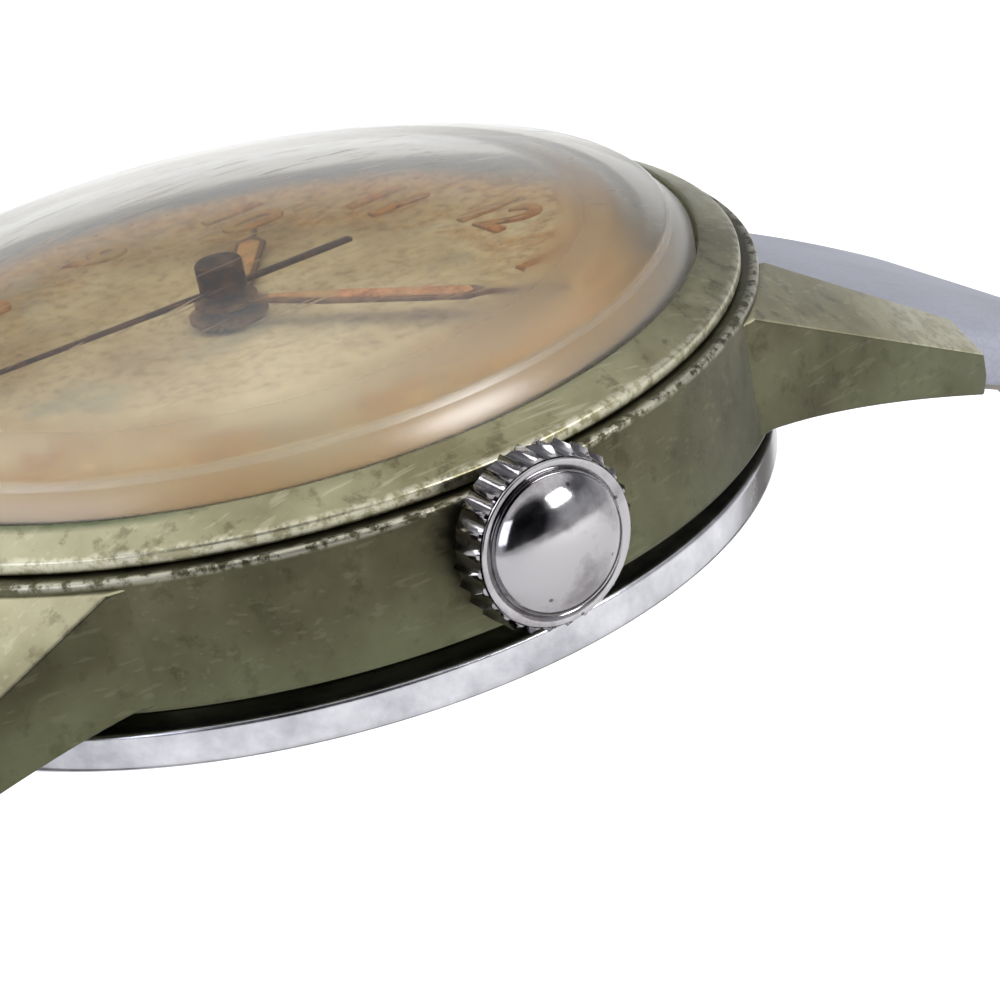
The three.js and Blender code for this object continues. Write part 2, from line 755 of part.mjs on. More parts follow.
function barrelArbor() {
  return join(
    rod(0.45, plateBottomZ - 0.4, plateTopZ - 0.75, barrelAt, 12),
    rod(barrelArborRadius, barrelBottomZ + 0.18, barrelTopZ - 0.26, barrelAt, 16),
    rod(0.5, movementBottomZ - 0.04, barrelBottomZ + 0.2, barrelAt, 14),
    rod(0.5, barrelTopZ - 0.3, plateBottomZ - 0.02, barrelAt, 14),
  );
}

const ratchetToCrownWheel = bearing(barrelAt, crownWheelAt);
const windingDistance = Math.hypot(crownWheelAt[0] - barrelAt[0], crownWheelAt[1] - barrelAt[1]);
const [ratchetPitch, crownWheelPitch] = pitchRadii(windingDistance, ratchetTeeth, crownWheelTeeth);
const ratchetTopZ = movementBottomZ - 0.06;
const ratchetBottomZ = ratchetTopZ - ratchetThickness;

function ratchetWheel() {
  const phase = ratchetToCrownWheel;
  const wheel = gear(ratchetTeeth, ratchetPitch, phase, barrelAt, ratchetBottomZ, ratchetTopZ);
  return cut(wheel, rod(0.32, 0, plateBottomZ, barrelAt, 12));
}

// The screw that holds the ratchet wheel to the barrel arbor stands in both.
function ratchetScrew() {
  const bottom = ratchetBottomZ - 0.22;
  const [x, y] = barrelAt;
  const slot = block([x - 1, x + 1], [y - 0.08, y + 0.08], [0, bottom + 0.1]);
  return cut(
    join(
      rod(0.8, bottom, ratchetBottomZ - 0.02, barrelAt, 16),
      rod(0.26, bottom + 0.1, ratchetTopZ + 0.01, barrelAt, 8),
    ),
    slot,
  );
}

// The crown wheel meets the ratchet wheel with its rim and the winding pinion with the crown of
// teeth on top of its hub.
function crownWheel() {
  const phase = matingPhase(ratchetTeeth, ratchetToCrownWheel, ratchetToCrownWheel, crownWheelTeeth);
  const rim = gear(crownWheelTeeth, crownWheelPitch, phase, crownWheelAt, ratchetBottomZ, ratchetTopZ);
  const hub = rod(crownWheelHubRadius, ratchetTopZ - 0.05, crownWheelTopZ, crownWheelAt, 28);
  const notches = Array.from({ length: crownWheelCrownTeeth }, (_, i) => {
    const notch = new THREE.BoxGeometry(1.2, 0.24, 0.5).translate(crownWheelHubRadius, 0, crownWheelTopZ);
    notch.rotateZ((i * 2 * Math.PI) / crownWheelCrownTeeth);
    return solid(notch.translate(crownWheelAt[0], crownWheelAt[1], 0));
  });
  return cut(
    join(rim, hub),
    rod(0.75, ratchetBottomZ + 0.2, plateTopZ, crownWheelAt, 14),
    rod(0.3, 0, plateTopZ, crownWheelAt, 10),
    ...notches,
  );
}

function crownWheelScrew() {
  const bottom = ratchetBottomZ - 0.2;
  const [x, y] = crownWheelAt;
  return cut(
    join(
      rod(0.7, bottom, ratchetBottomZ - 0.02, crownWheelAt, 14),
      rod(0.24, bottom + 0.1, plateBottomZ - 0.5, crownWheelAt, 8),
    ),
    block([x - 1, x + 1], [y - 0.08, y + 0.08], [0, bottom + 0.1]),
  );
}

const clickFromBarrel = 6.0;
const clickBearing = 150;
const clickAt = (() => {
  const [dx, dy] = polar(clickFromBarrel, clickBearing);
  return [barrelAt[0] + dx, barrelAt[1] + dy];
})();

// The click is a pawl on its own stud; its nose stands at the tips of the ratchet's teeth.
function click() {
  const [bottom, top] = [ratchetBottomZ + 0.03, ratchetTopZ];
  const noseRadius = ratchetPitch * (1 + 1.6 / ratchetTeeth) + 0.16;
  const [nx, ny] = polar(noseRadius, clickBearing - 11);
  const nose = [barrelAt[0] + nx, barrelAt[1] + ny];
  return join(
    rod(0.55, bottom, top, clickAt, 12),
    strip(clickAt, nose, 0.12, bottom, top),
    rod(0.15, bottom + 0.1, bridgeTopZ, clickAt, 8),
  );
}

// ---------------------------------------------------------------- the going train

const [centrePitch, thirdPinionPitch] = pitchRadii(thirdDistance, centreTeeth, thirdPinionLeaves);
const [thirdPitch, fourthPinionPitch] = pitchRadii(thirdDistance, thirdTeeth, fourthPinionLeaves);
const [fourthPitch, escapePinionPitch] = pitchRadii(escapeDistance, fourthTeeth, escapePinionLeaves);
const [cannonPitch, minuteWheelPitch] = pitchRadii(motionDistance, cannonLeaves, minuteWheelTeeth);
const [minutePinionPitch, hourWheelPitch] = pitchRadii(motionDistance, minutePinionLeaves, hourWheelTeeth);
const settingWheelPitch = (minuteWheelPitch * settingWheelTeeth) / minuteWheelTeeth;
const settingWheelAt = [motionDistance + minuteWheelPitch + settingWheelPitch, 0];

const minuteHandZ = dialTopZ + 2 * handGap + handThickness;
const hourHandZ = dialTopZ + handGap;
const secondsHandZ = minuteHandZ + handThickness + handGap;

// The centre wheel rides on a hollow arbor, through which the seconds arbor passes.
function centreWheel() {
  const pinionPhase = matingPhase(barrelTeeth, barrelToCentre, barrelToCentre, centrePinionLeaves);
  const pinionBottom = barrelTopZ - 0.34;
  const wheelTop = centreWheelZ + wheelThickness;
  return cut(
    join(
      crossedWheel(centreTeeth, centrePitch, thirdAngle, centre, centreWheelZ, wheelTop, 0.6),
      rod(centreTubeRadius, centreWheelZ - 0.02, motionWorkZ - 0.06, centre, 14),
      gear(centrePinionLeaves, centrePinionPitch, pinionPhase, centre, pinionBottom, plateBottomZ - 0.04),
      rod(centreTubeRadius - 0.08, motionWorkZ - 0.1, minuteHandZ - 0.1, centre, 14),
    ),
    rod(arborRadius + runningClearance, 0, secondsHandZ, centre, 10),
  );
}

function thirdWheel() {
  const wheelPhase = bearing(thirdAt, centre);
  const pinionPhase = matingPhase(centreTeeth, thirdAngle, thirdAngle, thirdPinionLeaves);
  const wheelTop = thirdWheelZ + wheelThickness;
  const leavesZ = centreWheelZ - 0.06;
  return join(
    crossedWheel(thirdTeeth, thirdPitch, wheelPhase, thirdAt, thirdWheelZ, wheelTop, 0.55),
    gear(thirdPinionLeaves, thirdPinionPitch, pinionPhase, thirdAt, leavesZ, leavesZ + 0.36),
    rod(0.3, thirdWheelZ, centreWheelZ + 0.5, thirdAt, 8),
    rod(arborRadius, movementBottomZ + 0.1, plateBottomZ + 0.8, thirdAt, 8),
  );
}

// The fourth wheel turns once a minute: its long arbor carries the seconds hand.
function fourthWheel() {
  const toThird = bearing(thirdAt, centre);
  const pinionPhase = matingPhase(thirdTeeth, toThird, toThird, fourthPinionLeaves);
  const wheelTop = fourthWheelZ + wheelThickness;
  return join(
    crossedWheel(fourthTeeth, fourthPitch, escapeAngle, centre, fourthWheelZ, wheelTop, 0.55),
    gear(fourthPinionLeaves, fourthPinionPitch, pinionPhase, centre, wheelTop - 0.02, centreWheelZ - 0.06),
    rod(arborRadius, movementBottomZ + 0.1, secondsHandZ - 0.04, centre, 8),
  );
}

// Club teeth lean the way the wheel turns.
function escapeWheel() {
  const pinionPhase = matingPhase(fourthTeeth, escapeAngle, escapeAngle, escapePinionLeaves);
  const points = [];
  for (let tooth = 0; tooth < escapeTeeth; tooth += 1) {
    for (const [radius, step] of [
      [escapeRadius, 0],
      [escapeRadius * 0.98, 0.14],
      [escapeRadius * 0.78, 0.34],
      [escapeRadius * 0.78, 0.82],
    ]) {
      points.push(polar(radius, ((tooth + step) * 360) / escapeTeeth).map((c, i) => c + escapeAt[i]));
    }
  }
  const leavesZ = fourthWheelZ - 0.04;
  const rim = plate(outline(points), escapeWheelZ, escapeWheelZ + wheelThickness);
  const crossings = [0, 1, 2, 3].map((arm) => {
    const [dx, dy] = polar(escapeRadius * 0.45, arm * 90 + 45);
    return rod(escapeRadius * 0.2, 0, plateTopZ, [escapeAt[0] + dx, escapeAt[1] + dy], 10);
  });
  return join(
    cut(rim, ...crossings),
    gear(escapePinionLeaves, escapePinionPitch, pinionPhase, escapeAt, leavesZ, leavesZ + 0.34),
    rod(arborRadius, movementBottomZ + 0.1, plateBottomZ + 0.8, escapeAt, 8),
  );
}

// The pallet fork: two arms that straddle the escape wheel and a lever towards the balance.
function palletFork() {
  const [bottom, top] = [escapeWheelZ, escapeWheelZ + 0.16];
  const toEscape = bearing(palletAt, escapeAt);
  const toBalance = Math.hypot(balanceAt[0] - palletAt[0], balanceAt[1] - palletAt[1]);
  const forkLength = toBalance - rollerPinRadius - 0.2;
  const at = (length, angle) => polar(length, angle).map((c, i) => c + palletAt[i]);
  const stones = [52, -52].map((side) => {
    const shoulder = at(1.05, toEscape + side * 1.25);
    const stone = at(1.36, toEscape + side);
    return join(strip(palletAt, shoulder, 0.16, bottom, top), strip(shoulder, stone, 0.1, bottom, top));
  });
  const fork = at(forkLength, toEscape + 180);
  const horns = [12.6, -12.6].map((side) =>
    strip(fork, at(forkLength + 0.3, toEscape + 180 + side), 0.06, bottom, top),
  );
  return join(
    ...stones,
    strip(palletAt, fork, 0.13, bottom, top),
    ...horns,
    rod(0.3, bottom, top + 0.1, palletAt, 8),
    rod(arborRadius - 0.05, palletBridgeZ + 0.02, plateBottomZ + 0.8, palletAt, 8),
  );
}

const rollerPinRadius = 0.62;

// The balance: a plain rim on two arms, its staff, the roller and the impulse pin.
function balanceWheel() {
  const rimTop = balanceZ + 0.18;
  const rim = turned(
    [
      [balanceRadius - 0.42, balanceZ],
      [balanceRadius, balanceZ],
      [balanceRadius, rimTop],
      [balanceRadius - 0.42, rimTop],
    ],
    32,
  ).translate([...balanceAt, 0]);
  const armAngle = bearing(balanceAt, palletAt) + 90;
  const ends = [0, 180].map((turn) => {
    const [dx, dy] = polar(balanceRadius - 0.25, armAngle + turn);
    return [balanceAt[0] + dx, balanceAt[1] + dy];
  });
  const pin = along(balanceAt, palletAt, rollerPinRadius);
  const rollerZ = escapeWheelZ - 0.2;
  return join(
    rim,
    strip(ends[0], ends[1], 0.28, balanceZ + 0.03, rimTop - 0.03),
    rod(0.5, balanceZ - 0.1, rimTop, balanceAt, 10),
    rod(arborRadius, movementBottomZ + 0.1, plateBottomZ + 0.8, balanceAt, 8),
    rod(0.8, rollerZ, rollerZ + 0.12, balanceAt, 16),
    rod(0.07, rollerZ, escapeWheelZ + 0.14, pin, 6),
  );
}

function hairspring() {
  const bottom = bridgeTopZ + 0.12;
  return coil(0.62, 2.2, 6, 0.06, 40, balanceAt, bottom, bottom + 0.12);
}

// ---------------------------------------------------------------- motion work, hands

function cannonPinion() {
  return cut(
    join(
      gear(cannonLeaves, cannonPitch, 0, centre, motionWorkZ, motionWorkZ + 0.22),
      rod(cannonRadius, motionWorkZ, minuteHandZ - 0.02, centre, 14),
    ),
    rod(centreTubeRadius - 0.04, 0, minuteHandZ + 1, centre, 14),
  );
}

function minuteWheel() {
  const phase = matingPhase(cannonLeaves, 0, 0, minuteWheelTeeth);
  const wheelTop = motionWorkZ + 0.18;
  const pinionTop = dialBottomZ - 0.1;
  return cut(
    join(
      gear(minuteWheelTeeth, minuteWheelPitch, phase, minuteWheelAt, motionWorkZ, wheelTop),
      gear(minutePinionLeaves, minutePinionPitch, 180, minuteWheelAt, wheelTop - 0.01, pinionTop),
    ),
    rod(0.2, 0, plateTopZ + 1, minuteWheelAt, 8),
  );
}

function hourWheel() {
  const phase = matingPhase(minutePinionLeaves, 180, 180, hourWheelTeeth);
  const bottom = motionWorkZ + 0.28;
  return cut(
    join(
      gear(hourWheelTeeth, hourWheelPitch, phase, centre, bottom, bottom + 0.2),
      rod(hourPipeRadius, bottom, hourHandZ + handThickness - 0.02, centre, 16),
    ),
    rod(cannonRadius + runningClearance, 0, minuteHandZ, centre, 14),
  );
}

// The setting wheel joins the minute wheel to the sliding pinion when the crown is pulled out.
function settingWheel() {
  const wheelPhase = matingPhase(cannonLeaves, 0, 0, minuteWheelTeeth);
  const phase = matingPhase(minuteWheelTeeth, wheelPhase, 0, settingWheelTeeth);
  return cut(
    gear(settingWheelTeeth, settingWheelPitch, phase, settingWheelAt, motionWorkZ, motionWorkZ + 0.18),
    rod(0.25, 0, plateTopZ + 1, settingWheelAt, 8),
  );
}

// Clockwise from 12, seen from the dial side, as an angle from +X.
const clockAngle = (share) => 90 - 360 * share;

// A pencil hand: a lume-filled blade that narrows to a needle.
function hand(length, blade, bladeHalf, angle, z, hubRadius, hole) {
  const outlinePoints = [
    [0, -hubRadius * 0.6],
    [hubRadius * 1.3, -bladeHalf * 0.5],
    [length * 0.3, -bladeHalf],
    [blade, -bladeHalf],
    [blade + 0.5, -0.11],
    [length, -0.07],
    [length, 0.07],
    [blade + 0.5, 0.11],
    [blade, bladeHalf],
    [length * 0.3, bladeHalf],
    [hubRadius * 1.3, bladeHalf * 0.5],
    [0, hubRadius * 0.6],
  ];
  const top = z + handThickness;
  const made = join(plate(outline(outlinePoints), z, top), rod(hubRadius, z, top, centre, 16));
  return cut(made, rod(hole, 0, z + 1, centre, 14)).rotate([0, 0, angle]);
}

function hourHand() {
  const angle = clockAngle((shownHour + shownMinutes / 60) / 12);
  return hand(hourHandLength, hourHandLength - 1.3, 0.5, angle, hourHandZ, 1.25, hourPipeRadius + 0.02);
}

function minuteHand() {
  const angle = clockAngle(shownMinutes / 60);
  const blade = minuteHandLength * 0.72;
  return hand(minuteHandLength, blade, 0.42, angle, minuteHandZ, 1.0, centreTubeRadius - 0.06);
}

function secondsHand() {
  const needle = outline([
    [-secondsTailLength, -0.16],
    [0, -0.13],
    [secondsHandLength, -0.05],
    [secondsHandLength, 0.05],
    [0, 0.13],
    [-secondsTailLength, 0.16],
  ]);
  const bottom = secondsHandZ;
  const made = join(
    plate(needle, bottom, bottom + handThickness),
    rod(0.75, bottom, bottom + secondsHubRise, centre, 16),
  );
  const bored = cut(made, rod(arborRadius + 0.02, 0, bottom + 0.12, centre, 8));
  return bored.rotate([0, 0, clockAngle(shownSeconds / 60)]);
}

// ---------------------------------------------------------------- crown and stem

const crownBackX = caseRadius + crownGap;
const crownFrontX = crownBackX + crownLength;

// Turned parts of the stem line are made about Z and laid along X.
const onStem = (made) => made.rotate([0, 90, 0]).translate([0, 0, stemZ]);

function crown() {
  const points = [];
  const pitch = 360 / crownTeeth;
  for (let tooth = 0; tooth < crownTeeth; tooth += 1) {
    for (const [depth, step] of [
      [0, 0],
      [0.9, 0.3],
      [0.9, 0.7],
    ]) {
      points.push(polar(crownRadius - depth * crownFlute, (tooth + step) * pitch));
    }
  }
  const grip = plate(outline(points), crownBackX, crownFrontX);
  // both ends of the grip are turned to a cone
  const coned = turned(
    [
      [0, crownBackX - 0.1],
      [crownRadius - 0.25, crownBackX - 0.1],
      [crownRadius + 0.02, crownBackX + 0.2],
      [crownRadius + 0.02, crownFrontX - 0.24],
      [crownRadius - 0.32, crownFrontX + 0.02],
      [0, crownFrontX + 0.02],
    ],
    28,
  );
  const dome = turned(
    [
      [0, crownFrontX - 0.3],
      [crownDomeRadius, crownFrontX - 0.3],
      [crownDomeRadius, crownFrontX + 0.06],
      ...[15, 35, 60].map((angle) => [
        crownDomeRadius * Math.cos(angle * degrees),
        crownFrontX + 0.06 + (crownDomeRise - 0.06) * Math.sin(angle * degrees),
      ]),
      [0, crownFrontX + crownDomeRise],
    ],
    32,
  );
  const tubeRoom = rod(tubeRadius + 0.3, crownBackX - 1, crownFrontX - 0.35, centre, 20);
  const post = rod(stemRadius, crownBackX - 0.1, crownFrontX, centre, 12);
  return onStem(join(cut(join(grip.intersect(coned), dome), tubeRoom), post));
}

function crownGasket() {
  return onStem(
    turned(
      [
        [tubeRadius + 0.03, crownBackX + 0.15],
        [tubeRadius + 0.27, crownBackX + 0.15],
        [tubeRadius + 0.27, crownBackX + 0.4],
        [tubeRadius + 0.03, crownBackX + 0.4],
      ],
      16,
    ),
  );
}

function crownTube() {
  return onStem(
    turned(
      [
        [stemRadius + 0.08, boreRadius - 0.55],
        [tubeRadius, boreRadius - 0.55],
        [tubeRadius, crownFrontX - 0.82],
        [stemRadius + 0.08, crownFrontX - 0.82],
      ],
      16,
    ),
  );
}

// The stem: a square for the sliding pinion, a round for the winding pinion, a groove for the
// setting lever and a thread for the crown.
function stem() {
  const squareHalf = 0.34;
  const pilot = rod(stemPilotRadius, stemEndX, windingX - 1.9, centre, 10);
  const across = [-squareHalf, squareHalf];
  const square = block(across, across, [windingX - 2.0, windingX - 0.3]);
  const round = rod(0.46, windingX - 0.5, windingX + 0.8, centre, 12);
  const shoulder = rod(stemRadius - 0.04, windingX + 0.7, windingX + 1.0, centre, 12);
  const groove = rod(0.34, windingX + 0.9, windingX + 1.6, centre, 10);
  const shaft = rod(stemRadius - 0.04, windingX + 1.5, crownBackX - 0.14, centre, 12);
  return onStem(join(pilot, square, round, shoulder, groove, shaft));
}

function windingPinion() {
  const pitch = windingPinionRadius * 0.87;
  const leaves = gear(windingPinionLeaves, pitch, 0, centre, windingX - 0.45, windingX + 0.45);
  return onStem(cut(leaves, rod(0.5, windingX - 2, windingX + 2, centre, 12)));
}

// The sliding pinion: slanted winding teeth at one end, setting teeth at the other, and a groove
// round its waist for the yoke.
function slidingPinion() {
  const [inner, outer] = [windingX - 2.05, windingX - 0.6];
  const body = turned(
    [
      [0, inner],
      [0.85, inner],
      [0.85, inner + 0.5],
      [0.6, inner + 0.5],
      [0.6, inner + 0.85],
      [0.85, inner + 0.85],
      [0.85, outer],
      [0, outer],
    ],
    16,
  );
  const notches = Array.from({ length: 6 }, (_, i) =>
    solid(new THREE.BoxGeometry(0.5, 0.24, 0.24).translate(0.75, 0, inner).rotateZ((i * Math.PI) / 3)),
  );
  return onStem(cut(body, rod(0.52, inner - 1, outer + 1, centre, 12), ...notches));
}

// The setting lever pivots beside the stem and drops its pin into the stem's groove.
const settingLeverAt = [windingX + 1.25, 2.6];
function settingLever() {
  const pinAt = [windingX + 1.25, 0];
  const [bottom, top] = [plateTopZ + 0.03, plateTopZ + 0.2];
  return join(
    strip(settingLeverAt, pinAt, 0.3, bottom, top),
    strip(settingLeverAt, [windingX - 0.4, 2.3], 0.26, bottom, top),
    rod(0.45, bottom, top, settingLeverAt, 12),
    rod(0.2, stemZ + 0.42, bottom + 0.05, pinAt, 8),
  );
}

// The yoke holds the sliding pinion by its groove.
const yokeAt = [windingX - 1.4, -3.6];
function yoke() {
  const finger = [windingX - 1.38, -1.35];
  const pinAt = [windingX - 1.38, -0.78];
  const [bottom, top] = [plateTopZ + 0.03, plateTopZ + 0.2];
  return join(
    strip(yokeAt, finger, 0.26, bottom, top),
    strip(finger, pinAt, 0.12, bottom, top),
    rod(0.42, bottom, top, yokeAt, 12),
    rod(0.12, stemZ - 0.1, bottom + 0.05, pinAt, 8),
  );
}

// ---------------------------------------------------------------- strap

// The strap's middle line from its spring bar: a gentle fall, the side of the loop, the turn on to
// the floor and a straight run. Places are [y, z] on the 12 o'clock side, and `slope` is degrees
// below horizontal.
function strapPlace(distance, turnRadius) {
  const sideTurn = (90 - strapStartAngle) * degrees - strapTopRun / strapTopRadius;
  const runs = [
    [strapTopRun, strapTopRadius],
    [sideTurn * strapSideRadius, strapSideRadius],
    [(Math.PI / 2) * turnRadius, turnRadius],
  ];
  let [y, z, slope, left] = [barY, barZ, strapStartAngle * degrees, distance];
  for (const [length, radius] of runs) {
    const step = Math.min(left, length);
    const next = slope + step / radius;
    y += radius * (Math.sin(next) - Math.sin(slope));
    z += radius * (Math.cos(next) - Math.cos(slope));
    slope = next;
    left -= step;
  }
  y += left * Math.cos(slope);
  z -= left * Math.sin(slope);
  return { y, z, slope: slope / degrees };
}

// Half the strap's thickness: padded near the case, plain beyond.
function strapHalf(distance) {
  const padding = Math.max(0, 1 - distance / 30);
  return strapThickness / 2 + (strapNose - strapThickness / 2) * padding;
}

// A strip of strap between two distances from its bar, as a side outline.
function strapSideOutline(from, to, turnRadius, lift = strapHalf, drop = strapHalf, steps = 24) {
  const side = (sign, half) =>
    Array.from({ length: steps + 1 }, (_, i) => {
      const distance = from + ((to - from) * i) / steps;
      const { y, z, slope } = strapPlace(distance, turnRadius);
      const reach = half(distance) * sign;
      return [y + reach * Math.sin(slope * degrees), z + reach * Math.cos(slope * degrees)];
    });
  return [...side(-1, drop), ...side(1, lift).reverse()];
}

// The strap narrows from the lugs down to its end.
function strapTaper() {
  const topHalf = lugGap / 2 - strapSide;
  const endHalf = strapEndWidth / 2;
  const shape = outline([
    [-endHalf, -80],
    [endHalf, -80],
    [endHalf, -28],
    [topHalf, barZ - 2],
    [topHalf, barZ + 10],
    [-topHalf, barZ + 10],
    [-topHalf, barZ - 2],
    [-endHalf, -28],
  ]);
  const geometry = new THREE.ExtrudeGeometry(shape, { depth: 200, bevelEnabled: false });
  return solid(geometry.rotateX(Math.PI / 2).translate(0, 100, 0));
}

function strapBlank(length, turnRadius) {
  const half = lugGap / 2;
  return join(
    sidePlate(strapSideOutline(0, length, turnRadius), -half, half),
    crossRod(strapNose, -half, half, [barY, barZ], 16),
  ).intersect(strapTaper());
}

// A round tool straight through the strap at a distance from its bar.
function strapPunch(distance, turnRadius, radius) {
  const { y, z, slope } = strapPlace(distance, turnRadius);
  return rod(radius, -4, 4, centre, 10).rotate([-slope, 0, 0]).translate([0, y, z]);
}

function strapTail() {
  const blank = strapBlank(strapTailLength, strapTailTurn);
  const tip = strapPlace(strapTailLength, strapTailTurn);
  const half = strapEndWidth / 2;
  // the tip is rounded to a point
  const corners = [1, -1].map((side) =>
    plate(
      outline(
        [
          [side * (half + 1), tip.y - 1],
          [side * (half + 1), tip.y + 9],
          [side * half, tip.y + 9],
          [side * half * 0.86, tip.y + 4.5],
          [side * half * 0.5, tip.y + 1.4],
          [0, tip.y],
          [0, tip.y - 1],
        ],
      ),
      tip.z - 3,
      tip.z + 3,
    ),
  );
  const holes = Array.from({ length: strapHoleCount }, (_, i) =>
    strapPunch(strapTailLength - strapFirstHole - i * strapHolePitch, strapTailTurn, strapHoleRadius),
  );
  return cut(blank, strapBarBore(), ...corners, ...holes);
}

function strapBarBore() {
  return crossRod(barRadius + 0.06, -lugGap, lugGap, [barY, barZ], 14);
}

const buckleBar = strapPlace(strapBuckleLength, strapBuckleTurn);

// The buckle half is made on the 12 o'clock side and turned to the 6 o'clock side at the end.
const toSix = (made) => made.rotate([0, 0, 180]);

function strapBuckleHalf() {
  const blank = strapBlank(strapBuckleLength, strapBuckleTurn);
  const half = strapEndWidth / 2;
  const end = crossRod(strapThickness / 2, -half, half, [buckleBar.y, buckleBar.z], 14);
  const slot = tongueWidth / 2 + 0.25;
  return toSix(
    cut(
      join(blank, end),
      strapBarBore(),
      crossRod(buckleBarRadius + 0.06, -lugGap, lugGap, [buckleBar.y, buckleBar.z], 12),
      block([-slot, slot], [buckleBar.y - 3, buckleBar.y + 1.6], [buckleBar.z - 3, buckleBar.z + 3]),
    ),
  );
}

// A leather band round the strap, with room for the tail to lie on top.
function keeper(distance) {
  const inside = (d) => strapHalf(d) + keeperClearance;
  const outside = (d) => strapHalf(d) + strapThickness + 0.1;
  const [from, to] = [distance - keeperWidth / 2, distance + keeperWidth / 2];
  const thicker = (half) => (d) => half(d) + keeperWall;
  const half = strapEndWidth / 2 + keeperClearance;
  const band = sidePlate(
    strapSideOutline(from, to, strapBuckleTurn, thicker(outside), thicker(inside), 4),
    -half - keeperWall,
    half + keeperWall,
  );
  const hollow = sidePlate(
    strapSideOutline(from - 1, to + 1, strapBuckleTurn, outside, inside, 6),
    -half,
    half,
  );
  return toSix(cut(band, hollow));
}

function springBar(signY) {
  const body = lugGap / 2 - 0.35;
  const tip = lugGap / 2 + barPivotLength;
  const at = [signY * barY, barZ];
  return join(crossRod(barRadius, -body, body, at, 12), crossRod(barPivotRadius, -tip, tip, at, 8));
}

// ---------------------------------------------------------------- buckle

function buckleFrame() {
  const innerHalf = strapEndWidth / 2 + buckleSide;
  const outerHalf = innerHalf + buckleRail;
  const frontInner = buckleBar.y - buckleWindow;
  const front = frontInner - buckleFront;
  const back = buckleBar.y + 1.1;
  const [bottom, top] = [buckleBar.z - buckleWire / 2, buckleBar.z + buckleWire / 2];
  const rounded = outline([
    [-outerHalf + 1.6, front],
    [outerHalf - 1.6, front],
    [outerHalf - 0.45, front + 0.5],
    [outerHalf, front + 1.7],
    [outerHalf, back],
    [innerHalf, back],
    [innerHalf, frontInner],
    [-innerHalf, frontInner],
    [-innerHalf, back],
    [-outerHalf, back],
    [-outerHalf, front + 1.7],
    [-outerHalf + 0.45, front + 0.5],
  ]);
  const notch = block(
    [-tongueWidth, tongueWidth],
    [front - 1, frontInner + 1],
    [bottom - 1, bottom + tongueThickness * 0.5],
  );
  return toSix(
    cut(
      plate(rounded, bottom, top),
      crossRod(buckleBarRadius + 0.05, -lugGap, lugGap, [buckleBar.y, buckleBar.z], 12),
      notch,
    ),
  );
}

function buckleSpringBar() {
  const tip = strapEndWidth / 2 + buckleSide + buckleRail;
  return toSix(crossRod(buckleBarRadius, -tip, tip, [buckleBar.y, buckleBar.z], 12));
}

// The tongue turns on the buckle's bar and rests in the notch of the front rail.
function buckleTongue() {
  const [y, z] = [buckleBar.y, buckleBar.z];
  const eye = crossRod(buckleBarRadius + 0.42, -tongueWidth / 2, tongueWidth / 2, [y, z], 14);
  const reach = y - buckleWindow - buckleFront * 0.95;
  const restTop = z - buckleWire / 2 + tongueThickness * 0.5 - 0.04;
  const blade = sidePlate(
    [
      [reach, restTop - tongueThickness],
      [y - 1.4, restTop - tongueThickness],
      [y, z - buckleBarRadius - 0.4],
      [y, z - buckleBarRadius - 0.05],
      [y - 1.5, restTop],
      [reach, restTop],
    ],
    -tongueWidth / 2,
    tongueWidth / 2,
  );
  return toSix(cut(join(eye, blade), crossRod(buckleBarRadius + 0.05, -5, 5, [y, z], 12)));
}

// ---------------------------------------------------------------- assembly

add("case_body", "wornNickel", caseBody());
add("bezel", "wornNickel", bezel());
add("crystal", "acrylic", crystal());
add("case_back", "steel", caseBack());
add("case_back_gasket", "rubber", caseBackGasket());
add("crown_tube", "steel", crownTube());
add("movement_ring", "brass", movementRing());
add("dial", "agedDial", dial());

add("main_plate", "brass", mainPlate());
add("barrel_bridge", "nickel", barrelBridge());
add("train_bridge", "nickel", trainBridge());
add("pallet_bridge", "nickel", palletBridge());
add("balance_cock", "nickel", balanceCock());
add("regulator", "steel", regulator());
for (const [name, at] of Object.entries(screwPlaces)) add(name, "blued", bridgeScrew(at));

add("barrel_drum", "brass", barrelDrum());
add("barrel_cover", "brass", barrelCover());
add("mainspring", "steel", mainspring());
add("barrel_arbor", "steel", barrelArbor());
add("ratchet_wheel", "steel", ratchetWheel());
add("ratchet_screw", "blued", ratchetScrew());
add("crown_wheel", "steel", crownWheel());
add("crown_wheel_screw", "blued", crownWheelScrew());
add("click", "steel", click());

add("centre_wheel", "brass", centreWheel());
add("third_wheel", "brass", thirdWheel());
add("fourth_wheel", "brass", fourthWheel());
add("escape_wheel", "steel", escapeWheel());
add("pallet_fork", "steel", palletFork());
add("balance_wheel", "brass", balanceWheel());
add("hairspring", "blued", hairspring());

add("cannon_pinion", "steel", cannonPinion());
add("minute_wheel", "brass", minuteWheel());
add("hour_wheel", "brass", hourWheel());
add("setting_wheel", "steel", settingWheel());
add("hour_hand", "lume", hourHand());
add("minute_hand", "lume", minuteHand());
add("seconds_hand", "blued", secondsHand());

add("crown", "chrome", crown());
add("crown_gasket", "rubber", crownGasket());
add("stem", "steel", stem());
add("winding_pinion", "steel", windingPinion());
add("sliding_pinion", "steel", slidingPinion());
add("setting_lever", "steel", settingLever());
add("yoke", "steel", yoke());

add("spring_bar_12", "steel", springBar(1));
add("spring_bar_6", "steel", springBar(-1));
add("strap_tail", "leather", strapTail());
add("strap_buckle_half", "leather", strapBuckleHalf());
add("fixed_keeper", "leather", keeper(strapBuckleLength - fixedKeeperAt));
add("free_keeper", "leather", keeper(strapBuckleLength - freeKeeperAt));
add("buckle_frame", "steel", buckleFrame());
add("buckle_spring_bar", "steel", buckleSpringBar());
add("buckle_tongue", "steel", buckleTongue());

export default watch;
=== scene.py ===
"""Finishes and visible pieces of a worn hand-wound wristwatch on a grey leather strap."""

import json
import math

